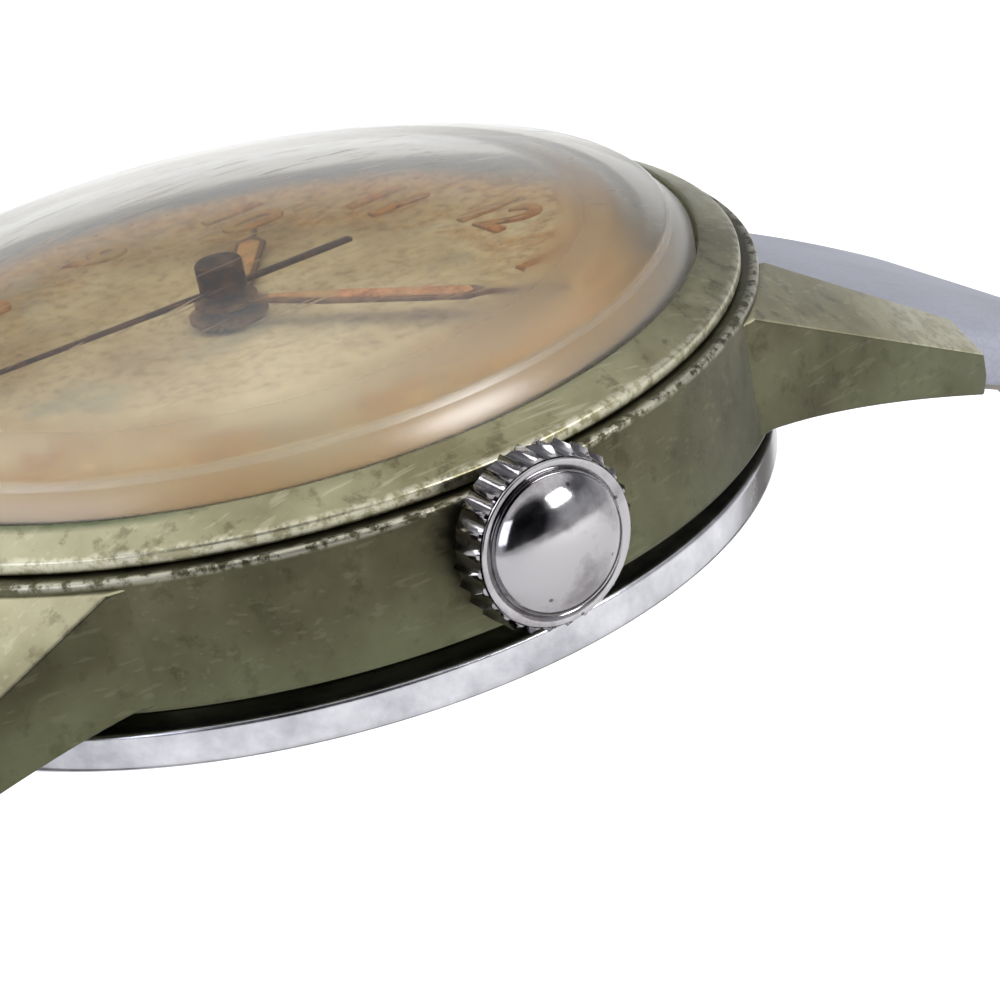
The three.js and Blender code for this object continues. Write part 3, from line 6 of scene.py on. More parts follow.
import bmesh
import bpy
from mathutils import Matrix, Vector


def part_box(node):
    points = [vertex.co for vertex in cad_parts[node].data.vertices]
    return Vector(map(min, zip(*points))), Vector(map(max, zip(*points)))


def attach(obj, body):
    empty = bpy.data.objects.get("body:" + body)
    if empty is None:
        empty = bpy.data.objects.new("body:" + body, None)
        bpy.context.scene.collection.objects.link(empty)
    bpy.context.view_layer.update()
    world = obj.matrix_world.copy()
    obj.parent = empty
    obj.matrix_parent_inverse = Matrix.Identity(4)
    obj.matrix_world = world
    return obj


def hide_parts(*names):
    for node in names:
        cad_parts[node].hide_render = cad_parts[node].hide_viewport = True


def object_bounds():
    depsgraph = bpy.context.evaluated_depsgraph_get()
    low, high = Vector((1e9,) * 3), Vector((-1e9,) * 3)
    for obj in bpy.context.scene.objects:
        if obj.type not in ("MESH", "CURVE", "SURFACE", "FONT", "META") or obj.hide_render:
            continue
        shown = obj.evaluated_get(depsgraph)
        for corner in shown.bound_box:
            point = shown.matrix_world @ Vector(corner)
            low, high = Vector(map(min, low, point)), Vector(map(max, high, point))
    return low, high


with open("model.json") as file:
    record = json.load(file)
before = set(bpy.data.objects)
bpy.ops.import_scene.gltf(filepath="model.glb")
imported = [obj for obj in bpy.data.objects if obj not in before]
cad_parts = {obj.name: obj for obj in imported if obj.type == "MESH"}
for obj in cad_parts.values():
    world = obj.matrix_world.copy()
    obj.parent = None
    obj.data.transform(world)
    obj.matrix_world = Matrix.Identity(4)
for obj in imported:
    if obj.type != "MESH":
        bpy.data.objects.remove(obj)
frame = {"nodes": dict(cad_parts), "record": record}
cad_low, cad_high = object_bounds()

MM = 0.001
scene = bpy.context.scene

# ------------------------------------------------------------------ sizes, in millimetres

CASE_RADIUS = 16.5
NECK_RADIUS = 14.95
BORE_RADIUS = 14.05
WALL_BOTTOM_Z = 3.0
CASE_TOP_Z = 7.15
LUG_INSIDE_X = 9.0
LUG_ROOT_X = 12.7
LUG_TIP_X = 10.6
LUG_TIP_Y = 20.7
LUG_TIP_TOP_Z = 1.55
LUG_TIP_BOTTOM_Z = 0.2
LUG_CANT = 0.54
BEZEL_RADIUS = 16.0
BEZEL_BORE = 14.72
BEZEL_SKIRT_Z = 7.21
BEZEL_CONE_Z = 7.55
BEZEL_TOP_Z = 8.23
CRYSTAL_RIM = 14.66
CRYSTAL_SHOULDER = 13.9
CRYSTAL_SHOULDER_Z = 9.18
CRYSTAL_RISE = 2.2
CRYSTAL_WALL = 0.9
DIAL_RADIUS = 13.7
DIAL_BOTTOM_Z = 7.21
DIAL_TOP_Z = 7.6
STEM_Z = 5.53
CROWN_BACK_X = 16.68
CROWN_RADIUS = 2.71
CROWN_TEETH = 28
CROWN_FLUTE = 0.26
CROWN_DOME_RADIUS = 2.1
CROWN_DOME_RISE = 1.02
BAR_Y = 18.05
BAR_Z = 2.0
STRAP_NOSE = 1.35
STRAP_START = 20
STRAP_TOP_RUN = 10
STRAP_TOP_RADIUS = 63
STRAP_SIDE_RADIUS = 27
STRAP_TAIL_TURN = 18
STRAP_BUCKLE_TURN = 14.5
STRAP_TAIL_LENGTH = 105
STRAP_BUCKLE_LENGTH = 65
STRAP_TOP_HALF = 8.7
STRAP_END_HALF = 8.0
STITCHES_START = 24
STITCHES_END = 39
FIXED_KEEPER_BACK = 8
FREE_KEEPER_BACK = 20
FLOOR_Z = cad_low.z / MM


def polar(radius, degrees):
    turn = math.radians(degrees)
    return radius * math.cos(turn), radius * math.sin(turn)


# ------------------------------------------------------------------ building

def turned(profile, steps=192):
    """A turned solid about Z from [radius, height] pairs, open only on the axis."""
    bm = bmesh.new()
    points = [bm.verts.new((radius * MM, 0, height * MM)) for radius, height in profile]
    edges = [bm.edges.new(pair) for pair in zip(points, points[1:])]
    if profile[0][0] > 0:
        edges.append(bm.edges.new((points[-1], points[0])))
    bmesh.ops.spin(
        bm, geom=points + edges, axis=(0, 0, 1), cent=(0, 0, 0),
        angle=2 * math.pi, steps=steps, use_merge=True,
    )
    bmesh.ops.remove_doubles(bm, verts=bm.verts, dist=1e-7)
    bmesh.ops.recalc_face_normals(bm, faces=bm.faces)
    return bm


def arc(centre, radius, start, end, steps):
    """Profile points on an arc, in degrees from the radial direction towards Z."""
    turns = [math.radians(start + (end - start) * i / steps) for i in range(steps + 1)]
    return [(centre[0] + radius * math.cos(t), centre[1] + radius * math.sin(t)) for t in turns]


def soften(bm, width, degrees=30, segments=3):
    """Rounds every edge that is sharper than the angle."""
    sharp = [
        e for e in bm.edges
        if len(e.link_faces) == 2 and e.calc_face_angle(0) > math.radians(degrees)
    ]
    bmesh.ops.bevel(
        bm, geom=sharp, offset=width * MM, affect="EDGES", segments=segments,
        profile=0.5, material=-1, clamp_overlap=True,
    )
    return bm


def moved(bm, matrix):
    bmesh.ops.transform(bm, matrix=matrix, verts=bm.verts)
    return bm


def merged(*parts):
    """One mesh from several."""
    whole = bmesh.new()
    for part in parts:
        mesh = bpy.data.meshes.new("part")
        part.to_mesh(mesh)
        part.free()
        whole.from_mesh(mesh)
        bpy.data.meshes.remove(mesh)
    return whole


def plate(outline, bottom, top):
    """A flat plate from an outline of [x, y] pairs."""
    bm = bmesh.new()
    face = bm.faces.new([bm.verts.new((x * MM, y * MM, bottom * MM)) for x, y in outline])
    bmesh.ops.recalc_face_normals(bm, faces=[face])
    made = bmesh.ops.extrude_face_region(bm, geom=[face])["geom"]
    risen = [v for v in made if isinstance(v, bmesh.types.BMVert)]
    bmesh.ops.translate(bm, verts=risen, vec=(0, 0, (top - bottom) * MM))
    bmesh.ops.recalc_face_normals(bm, faces=bm.faces)
    return bm


def open_ring(around):
    """The first ring of a loft: its mesh, points and edges, and the turn of each point."""
    bm = bmesh.new()
    bmesh.ops.create_circle(bm, segments=around, radius=1, cap_ends=False)
    return bm, list(bm.verts), list(bm.edges), [2 * math.pi * i / around for i in range(around)]


def eased(value, power):
    """A sine or cosine raised to a power below one, which squares a round section off."""
    return math.copysign(abs(value) ** power, value)


def next_ring(bm, order, edges):
    """Extrudes the open end of a loft once; gives its new points, in the old order, and its new edges."""
    made = bmesh.ops.extrude_edge_only(bm, edges=edges)["geom"]
    fresh = {g for g in made if isinstance(g, bmesh.types.BMVert)}
    partner = {}
    for old in order:
        for edge in old.link_edges:
            if edge.other_vert(old) in fresh:
                partner[old] = edge.other_vert(old)
    open_edges = [g for g in made if isinstance(g, bmesh.types.BMEdge) and g.is_boundary]
    return [partner[v] for v in order], open_edges


def piece(name, bm, materials, body, stands_for=(), smooth=32):
    """Shows a mesh as a piece that rides on a body and stands for CAD nodes."""
    mesh = bpy.data.meshes.new(name)
    bm.to_mesh(mesh)
    bm.free()
    mesh.polygons.foreach_set("use_smooth", [True] * len(mesh.polygons))
    mesh.set_sharp_from_angle(angle=math.radians(smooth))
    made = bpy.data.objects.new(name, mesh)
    scene.collection.objects.link(made)
    for material in materials if isinstance(materials, (list, tuple)) else [materials]:
        mesh.materials.append(material)
    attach(made, body)
    if stands_for:
        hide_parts(*stands_for)
    return made


# ------------------------------------------------------------------ materials

def linear(colour):
    """A linear colour from an sRGB hex value."""
    channels = [int(colour[i:i + 2], 16) / 255 for i in (1, 3, 5)]
    return (*[c / 12.92 if c <= 0.04045 else ((c + 0.055) / 1.055) ** 2.4 for c in channels], 1)


def per(size):
    """A pattern scale that makes one cell this many millimetres across."""
    return 1 / (size * MM)


def add(tree, kind, settings=(), **links):
    """Adds a node; settings are its properties, inputs by name or number, or ramp stops."""
    made = tree.nodes.new("ShaderNode" + kind)
    for name, value in dict(settings).items():
        if name == "stops":
            ramp = made.color_ramp
            ramp.elements[0].position, ramp.elements[1].position = value[0][0], value[-1][0]
            for place, _ in value[1:-1]:
                ramp.elements.new(place)
            for element, (_, colour) in zip(ramp.elements, value):
                element.color = linear(colour)
        elif isinstance(name, int) or name in made.inputs:
            made.inputs[name].default_value = value
        else:
            setattr(made, name, value)
    for name, source in links.items():
        target = int(name[1:]) if name[0] == "i" and name[1:].isdigit() else name.replace("_", " ")
        tree.links.new(source, made.inputs[target])
    return made


def start(name, **values):
    """A new material: its tree, its surface shader and its object coordinates."""
    made = bpy.data.materials.new(name)
    made.use_nodes = True
    tree = made.node_tree
    surface = tree.nodes["Principled BSDF"]
    for socket, value in values.items():
        surface.inputs[socket.replace("_", " ")].default_value = value
    return made, tree, surface, add(tree, "TexCoord").outputs["Object"]


def join_surface(tree, surface, colour=None, roughness=None, bump=None, strength=0.2, depth=0.02):
    """Links a colour, a roughness and a height in millimetres of depth to the surface."""
    if colour is not None:
        tree.links.new(colour, surface.inputs["Base Color"])
    if roughness is not None:
        tree.links.new(roughness, surface.inputs["Roughness"])
    if bump is not None:
        relief = add(tree, "Bump", {"Strength": strength, "Distance": depth * MM}, Height=bump)
        tree.links.new(relief.outputs["Normal"], surface.inputs["Normal"])


def from_axis(tree, place):
    """The distance from the watch's own axis."""
    flat = add(tree, "VectorMath", {"operation": "MULTIPLY", 1: (1, 1, 0)}, i0=place)
    return add(tree, "VectorMath", {"operation": "LENGTH"}, i0=flat.outputs["Vector"])


WHITE, BLACK = "#ffffff", "#000000"


def worn_plating(name, clean, dull, deep, rough, wear):
    """Nickel and chrome plating on brass, worn through to khaki, with brown tarnish in soft patches.

    wear holds the limits of the rubbed edge as radii and heights, and how strongly each wear shows."""
    made, tree, surface, place = start(name, Metallic=1.0)
    cloud = add(tree, "TexNoise", {"Scale": per(6.0), "Detail": 5.0, "Roughness": 0.55}, Vector=place)
    speck = add(tree, "TexNoise", {"Scale": per(0.8), "Detail": 8.0, "Roughness": 0.68}, Vector=place)
    grain = add(tree, "TexNoise", {"Scale": per(0.16), "Detail": 4.0, "Roughness": 0.55}, Vector=place)
    base = add(
        tree, "ValToRGB", {"stops": [(0.34, deep), (0.50, dull), (0.66, clean)]}, Fac=cloud.outputs["Fac"],
    )
    spots = add(tree, "ValToRGB", {"stops": [(0.36, "#5b5236"), (0.46, WHITE)]}, Fac=speck.outputs["Fac"])
    stained = add(
        tree, "MixRGB", {"blend_type": "MULTIPLY", "Fac": wear["stain"]},
        Color1=base.outputs["Color"], Color2=spots.outputs["Color"],
    )

    # fine hairline scratches run along the metal
    along = add(tree, "Mapping", {"Rotation": (0, 0, 0.5), "Scale": (1, 0.03, 1)}, Vector=place)
    lines = add(
        tree, "TexNoise", {"Scale": per(0.22), "Detail": 2.0, "Roughness": 0.5},
        Vector=along.outputs["Vector"],
    )
    hair = add(
        tree, "MapRange", {"From Min": 0.61, "From Max": 0.67, "To Max": wear["hair"]},
        Value=lines.outputs["Fac"],
    )
    lined = add(
        tree, "MixRGB", {"Color2": linear("#d2cfb6")}, Fac=hair.outputs["Result"],
        Color1=stained.outputs["Color"],
    )

    # rubbed bright metal along an edge, broken up by chips
    radius = from_axis(tree, place)
    height = add(tree, "SeparateXYZ", Vector=place)
    chips = add(tree, "TexNoise", {"Scale": per(0.45), "Detail": 6.0, "Roughness": 0.66}, Vector=place)
    wobble = add(
        tree, "MapRange", {"To Min": -wear["wobble"] * MM, "To Max": wear["wobble"] * MM},
        Value=chips.outputs["Fac"],
    )
    outward = add(
        tree, "Math", {"operation": "ADD"}, i0=radius.outputs["Value"], i1=wobble.outputs["Result"],
    )
    near = add(
        tree, "MapRange", {"From Min": wear["radii"][0] * MM, "From Max": wear["radii"][1] * MM},
        Value=outward.outputs["Value"],
    )
    raised = add(
        tree, "MapRange", {"From Min": wear["heights"][0] * MM, "From Max": wear["heights"][1] * MM},
        Value=height.outputs["Z"],
    )
    edge = add(
        tree, "Math", {"operation": "MULTIPLY"}, i0=near.outputs["Result"], i1=raised.outputs["Result"],
    )
    broken = add(tree, "MapRange", {"From Min": 0.43, "From Max": 0.53}, Value=chips.outputs["Fac"])
    rub = add(
        tree, "Math", {"operation": "MULTIPLY"}, i0=edge.outputs["Value"], i1=broken.outputs["Result"],
    )
    share = add(tree, "Math", {"operation": "MULTIPLY", 1: wear["share"]}, i0=rub.outputs["Value"])
    rubbed = add(
        tree, "MixRGB", {"Color2": linear("#e2dfcd")}, Fac=share.outputs["Value"],
        Color1=lined.outputs["Color"],
    )

    # green verdigris in the corners below the top edge
    low = add(
        tree, "MapRange",
        {"From Min": wear["green"][0] * MM, "From Max": wear["green"][1] * MM, "To Min": 1.0,
                           "To Max": 0.0},
        Value=height.outputs["Z"],
    )
    patch = add(
        tree, "MapRange", {"From Min": 0.42, "From Max": 0.6, "To Max": wear["copper"]},
        Value=cloud.outputs["Fac"],
    )
    copper = add(
        tree, "Math", {"operation": "MULTIPLY"}, i0=low.outputs["Result"], i1=patch.outputs["Result"],
    )
    greened = add(
        tree, "MixRGB", {"Color2": linear("#46523a")}, Fac=copper.outputs["Value"],
        Color1=rubbed.outputs["Color"],
    )

    shine = add(
        tree, "MapRange", {"From Min": 0.3, "From Max": 0.7, "To Min": rough[0], "To Max": rough[1]},
        Value=speck.outputs["Fac"],
    )
    relief = add(tree, "MixRGB", {"Fac": 0.6}, Color1=grain.outputs["Fac"], Color2=speck.outputs["Fac"])
    join_surface(
        tree, surface, greened.outputs["Color"], shine.outputs["Result"], relief.outputs["Color"], 0.2,
        0.012,
    )
    return made


# the same worn plating in two tones: the darker copy goes on the case sides as painted shade, the lighter
# copy on faces that look up as painted light
plating_painted_dark_sides = worn_plating(
    "worn_nickel_plating_sides_painted_shade", "#5c5a46", "#4b4938", "#373427", (0.34, 0.5),
    {"radii": (16.2, 16.42), "heights": (6.9, 7.1), "wobble": 0.05, "share": 0.4,
     "stain": 0.3, "hair": 0.03, "green": (3.4, 6.4), "copper": 0.3},
)
plating_painted_light_tops = worn_plating(
    "worn_nickel_plating_tops_painted_light", "#aaa68d", "#938f75", "#747057", (0.34, 0.5),
    {"radii": (20.4, 20.8), "heights": (1.2, 1.6), "wobble": 0.2, "share": 0.3,
     "stain": 0.35, "hair": 0.12, "green": (0.4, 0.6), "copper": 0.0},
)
bezel_plating = worn_plating(
    "worn_nickel_plating_bezel", "#a5a289", "#8c896f", "#6c6850", (0.3, 0.48),
    {"radii": (15.8, 15.95), "heights": (7.2, 7.24), "wobble": 0.14, "share": 0.35,
     "stain": 0.4, "hair": 0.14, "green": (8.2, 8.08), "copper": 0.9},
)


def stainless_back():
    """Polished stainless steel with fine turned lines and a few hairline scratches."""
    made, tree, surface, place = start("turned_stainless_steel", Metallic=1.0, Roughness=0.2)
    radius = from_axis(tree, place)
    rings = add(
        tree, "TexNoise", {"noise_dimensions": "1D", "Scale": per(0.06), "Detail": 3.0},
        W=radius.outputs["Value"],
    )
    cloud = add(tree, "TexNoise", {"Scale": per(2.2), "Detail": 6.0, "Roughness": 0.65}, Vector=place)
    colour = add(
        tree, "ValToRGB", {"stops": [(0.3, "#8c8c91"), (0.7, "#c0c0c4")]}, Fac=cloud.outputs["Fac"],
    )
    rough = add(tree, "MapRange", {"To Min": 0.14, "To Max": 0.34}, Value=cloud.outputs["Fac"])
    join_surface(
        tree, surface, colour.outputs["Color"], rough.outputs["Result"], rings.outputs["Fac"], 0.25, 0.006,
    )
    return made


def bright_chrome():
    """Bright chrome plating with small pits and a few dull grey specks."""
    made, tree, surface, place = start("bright_chrome_plating", Metallic=1.0)
    pits = add(tree, "TexVoronoi", {"Scale": per(0.7), "Randomness": 1.0}, Vector=place)
    dots = add(
        tree, "MapRange", {"From Min": 0.06, "From Max": 0.12, "To Min": 0.8, "To Max": 0.0},
        Value=pits.outputs["Distance"],
    )
    cloud = add(tree, "TexNoise", {"Scale": per(1.6), "Detail": 6.0, "Roughness": 0.6}, Vector=place)
    dull = add(
        tree, "ValToRGB", {"stops": [(0.34, "#716d70"), (0.52, "#979597")]}, Fac=cloud.outputs["Fac"],
    )
    colour = add(
        tree, "MixRGB", {"Color2": linear("#3c3734")}, Fac=dots.outputs["Result"],
        Color1=dull.outputs["Color"],
    )
    rough = add(
        tree, "MapRange", {"From Min": 0.35, "From Max": 0.75, "To Min": 0.07, "To Max": 0.2},
        Value=cloud.outputs["Fac"],
    )
    dents = add(tree, "TexNoise", {"Scale": per(0.9), "Detail": 3.0, "Roughness": 0.5}, Vector=place)
    join_surface(
        tree, surface, colour.outputs["Color"], rough.outputs["Result"], dents.outputs["Fac"], 0.25, 0.03,
    )
    return made


def clear_acrylic():
    """Clear cast acrylic, yellowed a little, with light polishing scratches and a scuffed side wall."""
    made, tree, surface, place = start(
        "aged_clear_acrylic", Roughness=0.03, IOR=1.49, Transmission_Weight=1.0,
    )
    surface.inputs["Base Color"].default_value = linear("#fbf8ee")
    along = add(tree, "Mapping", {"Rotation": (0, 0, 0.4), "Scale": (1, 0.05, 1)}, Vector=place)
    lines = add(tree, "TexNoise", {"Scale": per(0.3), "Detail": 2.0}, Vector=along.outputs["Vector"])
    hair = add(tree, "MapRange", {"From Min": 0.63, "From Max": 0.68}, Value=lines.outputs["Fac"])
    height = add(tree, "SeparateXYZ", Vector=place)
    scuffed = add(
        tree, "MapRange", {"From Min": 9.0 * MM, "From Max": 9.25 * MM, "To Min": 0.3, "To Max": 0.02},
        Value=height.outputs["Z"],
    )
    scratched = add(tree, "Math", {"operation": "MULTIPLY", 1: 0.18}, i0=hair.outputs["Result"])
    rough = add(
        tree, "Math", {"operation": "MAXIMUM"}, i0=scuffed.outputs["Result"], i1=scratched.outputs["Value"],
    )
    waves = add(tree, "TexNoise", {"Scale": per(5.0), "Detail": 2.0}, Vector=place)
    join_surface(tree, surface, None, rough.outputs["Value"], waves.outputs["Fac"], 0.1, 0.05)
    return made


def aged_dial():
    """Cream lacquer gone tan, with ochre crust round the numerals, grey damp stains and a painted shade round
    its edge.
    """
    made, tree, surface, place = start("aged_dial_lacquer", Roughness=0.65, Specular_IOR_Level=0.2)
    radius = from_axis(tree, place)
    broad = add(tree, "TexNoise", {"Scale": per(8.0), "Detail": 4.0, "Roughness": 0.55}, Vector=place)
    blotch = add(
        tree, "TexNoise", {"Scale": per(3.4), "Detail": 9.0, "Roughness": 0.68, "Distortion": 0.5},
        Vector=place,
    )
    fine = add(tree, "TexNoise", {"Scale": per(0.5), "Detail": 8.0, "Roughness": 0.72}, Vector=place)
    base = add(
        tree, "ValToRGB", {"stops": [(0.32, "#9c865e"), (0.5, "#bbaa83"), (0.66, "#d3c6a4")]},
        Fac=broad.outputs["Fac"],
    )
    freckle = add(tree, "ValToRGB", {"stops": [(0.34, "#97784a"), (0.52, WHITE)]}, Fac=fine.outputs["Fac"])
    cream = add(
        tree, "MixRGB", {"blend_type": "MULTIPLY", "Fac": 0.45},
        Color1=base.outputs["Color"], Color2=freckle.outputs["Color"],
    )

    # damp has left a grey bloom in places
    damp_place = add(tree, "Mapping", {"Location": (7 * MM, -3 * MM, 2 * MM)}, Vector=place)
    damp = add(
        tree, "TexNoise", {"Scale": per(5.0), "Detail": 6.0, "Roughness": 0.6},
        Vector=damp_place.outputs["Vector"],
    )
    damp_share = add(
        tree, "MapRange", {"From Min": 0.54, "From Max": 0.66, "To Max": 0.7}, Value=damp.outputs["Fac"],
    )
    bloomed = add(
        tree, "MixRGB", {"Color2": linear("#8f8a72")}, Fac=damp_share.outputs["Result"],
        Color1=cream.outputs["Color"],
    )

    # corrosion is thickest where the luminous numerals were
    ring_place = add(tree, "MapRange", {"From Max": DIAL_RADIUS * MM}, Value=radius.outputs["Value"])
    ring = add(
        tree, "ValToRGB",
        {"stops": [(0.0, BLACK), (0.48, "#1c1c1c"), (0.62, "#8a8a8a"), (0.80, "#989898"), (0.92, "#c4c4c4")]},
        Fac=ring_place.outputs["Result"],
    )
    sum_up = add(tree, "Math", {"operation": "ADD"}, i0=ring.outputs["Color"], i1=blotch.outputs["Fac"])
    crust = add(tree, "MapRange", {"From Min": 0.66, "From Max": 0.9}, Value=sum_up.outputs["Value"])
    rust = add(
        tree, "ValToRGB", {"stops": [(0.30, "#5d3f1c"), (0.46, "#a3742f"), (0.62, "#c39c58")]},
        Fac=fine.outputs["Fac"],
    )
    share = add(tree, "Math", {"operation": "MULTIPLY", 1: 0.85}, i0=crust.outputs["Result"])
    rusty = add(
        tree, "MixRGB", Fac=share.outputs["Value"], Color1=bloomed.outputs["Color"],
        Color2=rust.outputs["Color"],
    )

    # greenish-black painted shade round the dial's edge, under the bezel and the crystal's wall
    edge_wave = add(tree, "Math", {"operation": "MULTIPLY", 1: 2.4 * MM}, i0=blotch.outputs["Fac"])
    reach = add(
        tree, "Math", {"operation": "ADD"}, i0=edge_wave.outputs["Value"], i1=radius.outputs["Value"],
    )
    edge = add(
        tree, "MapRange", {"From Min": 13.3 * MM, "From Max": 14.6 * MM}, Value=reach.outputs["Value"],
    )
    painted_edge_shade = add(
        tree, "MixRGB", {"Color2": linear("#3f3d25")}, Fac=edge.outputs["Result"],
        Color1=rusty.outputs["Color"],
    )
    height = add(tree, "MixRGB", {"Fac": 0.5}, Color1=fine.outputs["Fac"], Color2=crust.outputs["Result"])
    join_surface(tree, surface, painted_edge_shade.outputs["Color"], None, height.outputs["Color"], 0.6, 0.1)
    return made


def old_lume(name, light, dark):
    """Radium paint, decayed to a crumbly orange-brown crust with dirt in its hollows."""
    made, tree, surface, place = start(name, Roughness=0.85, Specular_IOR_Level=0.15)
    crumbs = add(tree, "TexNoise", {"Scale": per(0.55), "Detail": 8.0, "Roughness": 0.72}, Vector=place)
    cloud = add(tree, "TexNoise", {"Scale": per(2.6), "Detail": 4.0, "Roughness": 0.6}, Vector=place)
    colour = add(tree, "ValToRGB", {"stops": [(0.36, dark), (0.58, light)]}, Fac=crumbs.outputs["Fac"])
    faded = add(
        tree, "MapRange", {"From Min": 0.42, "From Max": 0.62, "To Max": 0.75}, Value=cloud.outputs["Fac"],
    )
    worn = add(
        tree, "MixRGB", {"Color2": linear("#b39a66")}, Fac=faded.outputs["Result"],
        Color1=colour.outputs["Color"],
    )
    join_surface(tree, surface, worn.outputs["Color"], None, crumbs.outputs["Fac"], 0.8, 0.09)
    return made


def hand_metal(name, clean, rust):
    """Thin blued steel hands, browned by rust."""
    made, tree, surface, place = start(name, Metallic=0.85, Roughness=0.4)
    spots = add(tree, "TexNoise", {"Scale": per(0.6), "Detail": 7.0, "Roughness": 0.65}, Vector=place)
    colour = add(tree, "ValToRGB", {"stops": [(0.38, rust), (0.6, clean)]}, Fac=spots.outputs["Fac"])
    rough = add(tree, "MapRange", {"To Min": 0.25, "To Max": 0.7}, Value=spots.outputs["Fac"])
    join_surface(
        tree, surface, colour.outputs["Color"], rough.outputs["Result"], spots.outputs["Fac"], 0.3, 0.02,
    )
    return made


def strap_leather(name, light, dark, grain_mm, shine):
    """Smooth grained calf leather with fine pores and soft creases."""
    made, tree, surface, place = start(name, Roughness=shine, Specular_IOR_Level=0.4)
    cells = add(tree, "TexVoronoi", {"Scale": per(grain_mm), "feature": "DISTANCE_TO_EDGE"}, Vector=place)
    pebble = add(tree, "MapRange", {"From Max": 0.12}, Value=cells.outputs["Distance"])
    cloud = add(tree, "TexNoise", {"Scale": per(7.0), "Detail": 6.0, "Roughness": 0.6}, Vector=place)
    crease_place = add(tree, "Mapping", {"Scale": (0.25, 1, 1)}, Vector=place)
    crease = add(
        tree, "TexNoise", {"Scale": per(1.6), "Detail": 5.0, "Roughness": 0.55},
        Vector=crease_place.outputs["Vector"],
    )
    tone = add(tree, "ValToRGB", {"stops": [(0.34, dark), (0.62, light)]}, Fac=cloud.outputs["Fac"])
    pores = add(
        tree, "MixRGB", {"blend_type": "MULTIPLY", "Fac": 0.1}, Color1=tone.outputs["Color"],
        Color2=pebble.outputs["Result"],
    )
    height = add(
        tree, "MixRGB", {"Fac": 0.6}, Color1=pebble.outputs["Result"], Color2=crease.outputs["Fac"],
    )
    rough = add(
        tree, "MapRange", {"To Min": shine - 0.08, "To Max": shine + 0.12}, Value=cloud.outputs["Fac"],
    )
    join_surface(
        tree, surface, pores.outputs["Color"], rough.outputs["Result"], height.outputs["Color"], 0.16, 0.03,
    )
    return made


def thread():
    """Waxed linen stitching thread with a twist."""
    made, tree, surface, place = start("waxed_linen_thread", Roughness=0.65)
    twist = add(
        tree, "TexWave", {"Scale": per(0.8), "Distortion": 1.0, "bands_direction": "DIAGONAL"},
        Vector=place,
    )
    colour = add(
        tree, "ValToRGB", {"stops": [(0.2, "#696b73"), (0.8, "#7d7f88")]}, Fac=twist.outputs["Fac"],
    )
    join_surface(tree, surface, colour.outputs["Color"], None, twist.outputs["Fac"], 0.4, 0.03)
    return made


def ground_steel(name, light, dark, rough_low, rough_high, grain=(1, 1, 0.05)):
    """Ground and polished steel with fine straight grain."""
    made, tree, surface, place = start(name, Metallic=1.0, Roughness=rough_low)
    along = add(tree, "Mapping", {"Scale": grain}, Vector=place)
    lines = add(tree, "TexNoise", {"Scale": per(0.08), "Detail": 3.0}, Vector=along.outputs["Vector"])
    cloud = add(tree, "TexNoise", {"Scale": per(1.8), "Detail": 5.0}, Vector=place)
    colour = add(tree, "ValToRGB", {"stops": [(0.35, dark), (0.65, light)]}, Fac=cloud.outputs["Fac"])
    rough = add(tree, "MapRange", {"To Min": rough_low, "To Max": rough_high}, Value=lines.outputs["Fac"])
    join_surface(
        tree, surface, colour.outputs["Color"], rough.outputs["Result"], lines.outputs["Fac"], 0.15, 0.005,
    )
    return made


def striped_nickel():
    """Nickel-plated bridges with straight decorative stripes, 1.1 mm apart."""
    made, tree, surface, place = start("striped_nickel_plating", Metallic=1.0, Roughness=0.25)
    stripes = add(
        tree, "TexWave", {"Scale": per(1.1) / 6.283, "bands_direction": "X", "wave_profile": "SAW"},
        Vector=place,
    )
    colour = add(
        tree, "ValToRGB", {"stops": [(0.0, "#8d8a80"), (1.0, "#bdb9ab")]}, Fac=stripes.outputs["Fac"],
    )
    rough = add(tree, "MapRange", {"To Min": 0.2, "To Max": 0.4}, Value=stripes.outputs["Fac"])
    join_surface(
        tree, surface, colour.outputs["Color"], rough.outputs["Result"], stripes.outputs["Fac"], 0.3, 0.01,
    )
    return made


def gilt_brass():
    """Gilt brass wheels and plate with overlapping grained circles, 1.3 mm across."""
    made, tree, surface, place = start("gilt_brass", Metallic=1.0, Roughness=0.28)
    circles = add(tree, "TexVoronoi", {"Scale": per(1.3), "Randomness": 0.15}, Vector=place)
    rings = add(tree, "Math", {"operation": "MULTIPLY", 1: 40.0}, i0=circles.outputs["Distance"])
    swirl = add(tree, "Math", {"operation": "SINE"}, i0=rings.outputs["Value"])
    colour = add(
        tree, "ValToRGB", {"stops": [(0.0, "#9c7c3e"), (1.0, "#c9a961")]}, Fac=circles.outputs["Distance"],
    )
    rough = add(
        tree, "MapRange", {"From Min": -1.0, "To Min": 0.2, "To Max": 0.4}, Value=swirl.outputs["Value"],
    )
    join_surface(
        tree, surface, colour.outputs["Color"], rough.outputs["Result"], swirl.outputs["Value"], 0.15,
        0.004,
    )
    return made


def seal_rubber():
    """Black nitrile seal with a dull bloom."""
    made, tree, surface, place = start("nitrile_rubber", Roughness=0.7)
    bloom = add(tree, "TexNoise", {"Scale": per(0.8), "Detail": 6.0}, Vector=place)
    colour = add(
        tree, "ValToRGB", {"stops": [(0.35, "#171715"), (0.7, "#34332e")]}, Fac=bloom.outputs["Fac"],
    )
    join_surface(tree, surface, colour.outputs["Color"], None, bloom.outputs["Fac"], 0.2, 0.01)
    return made


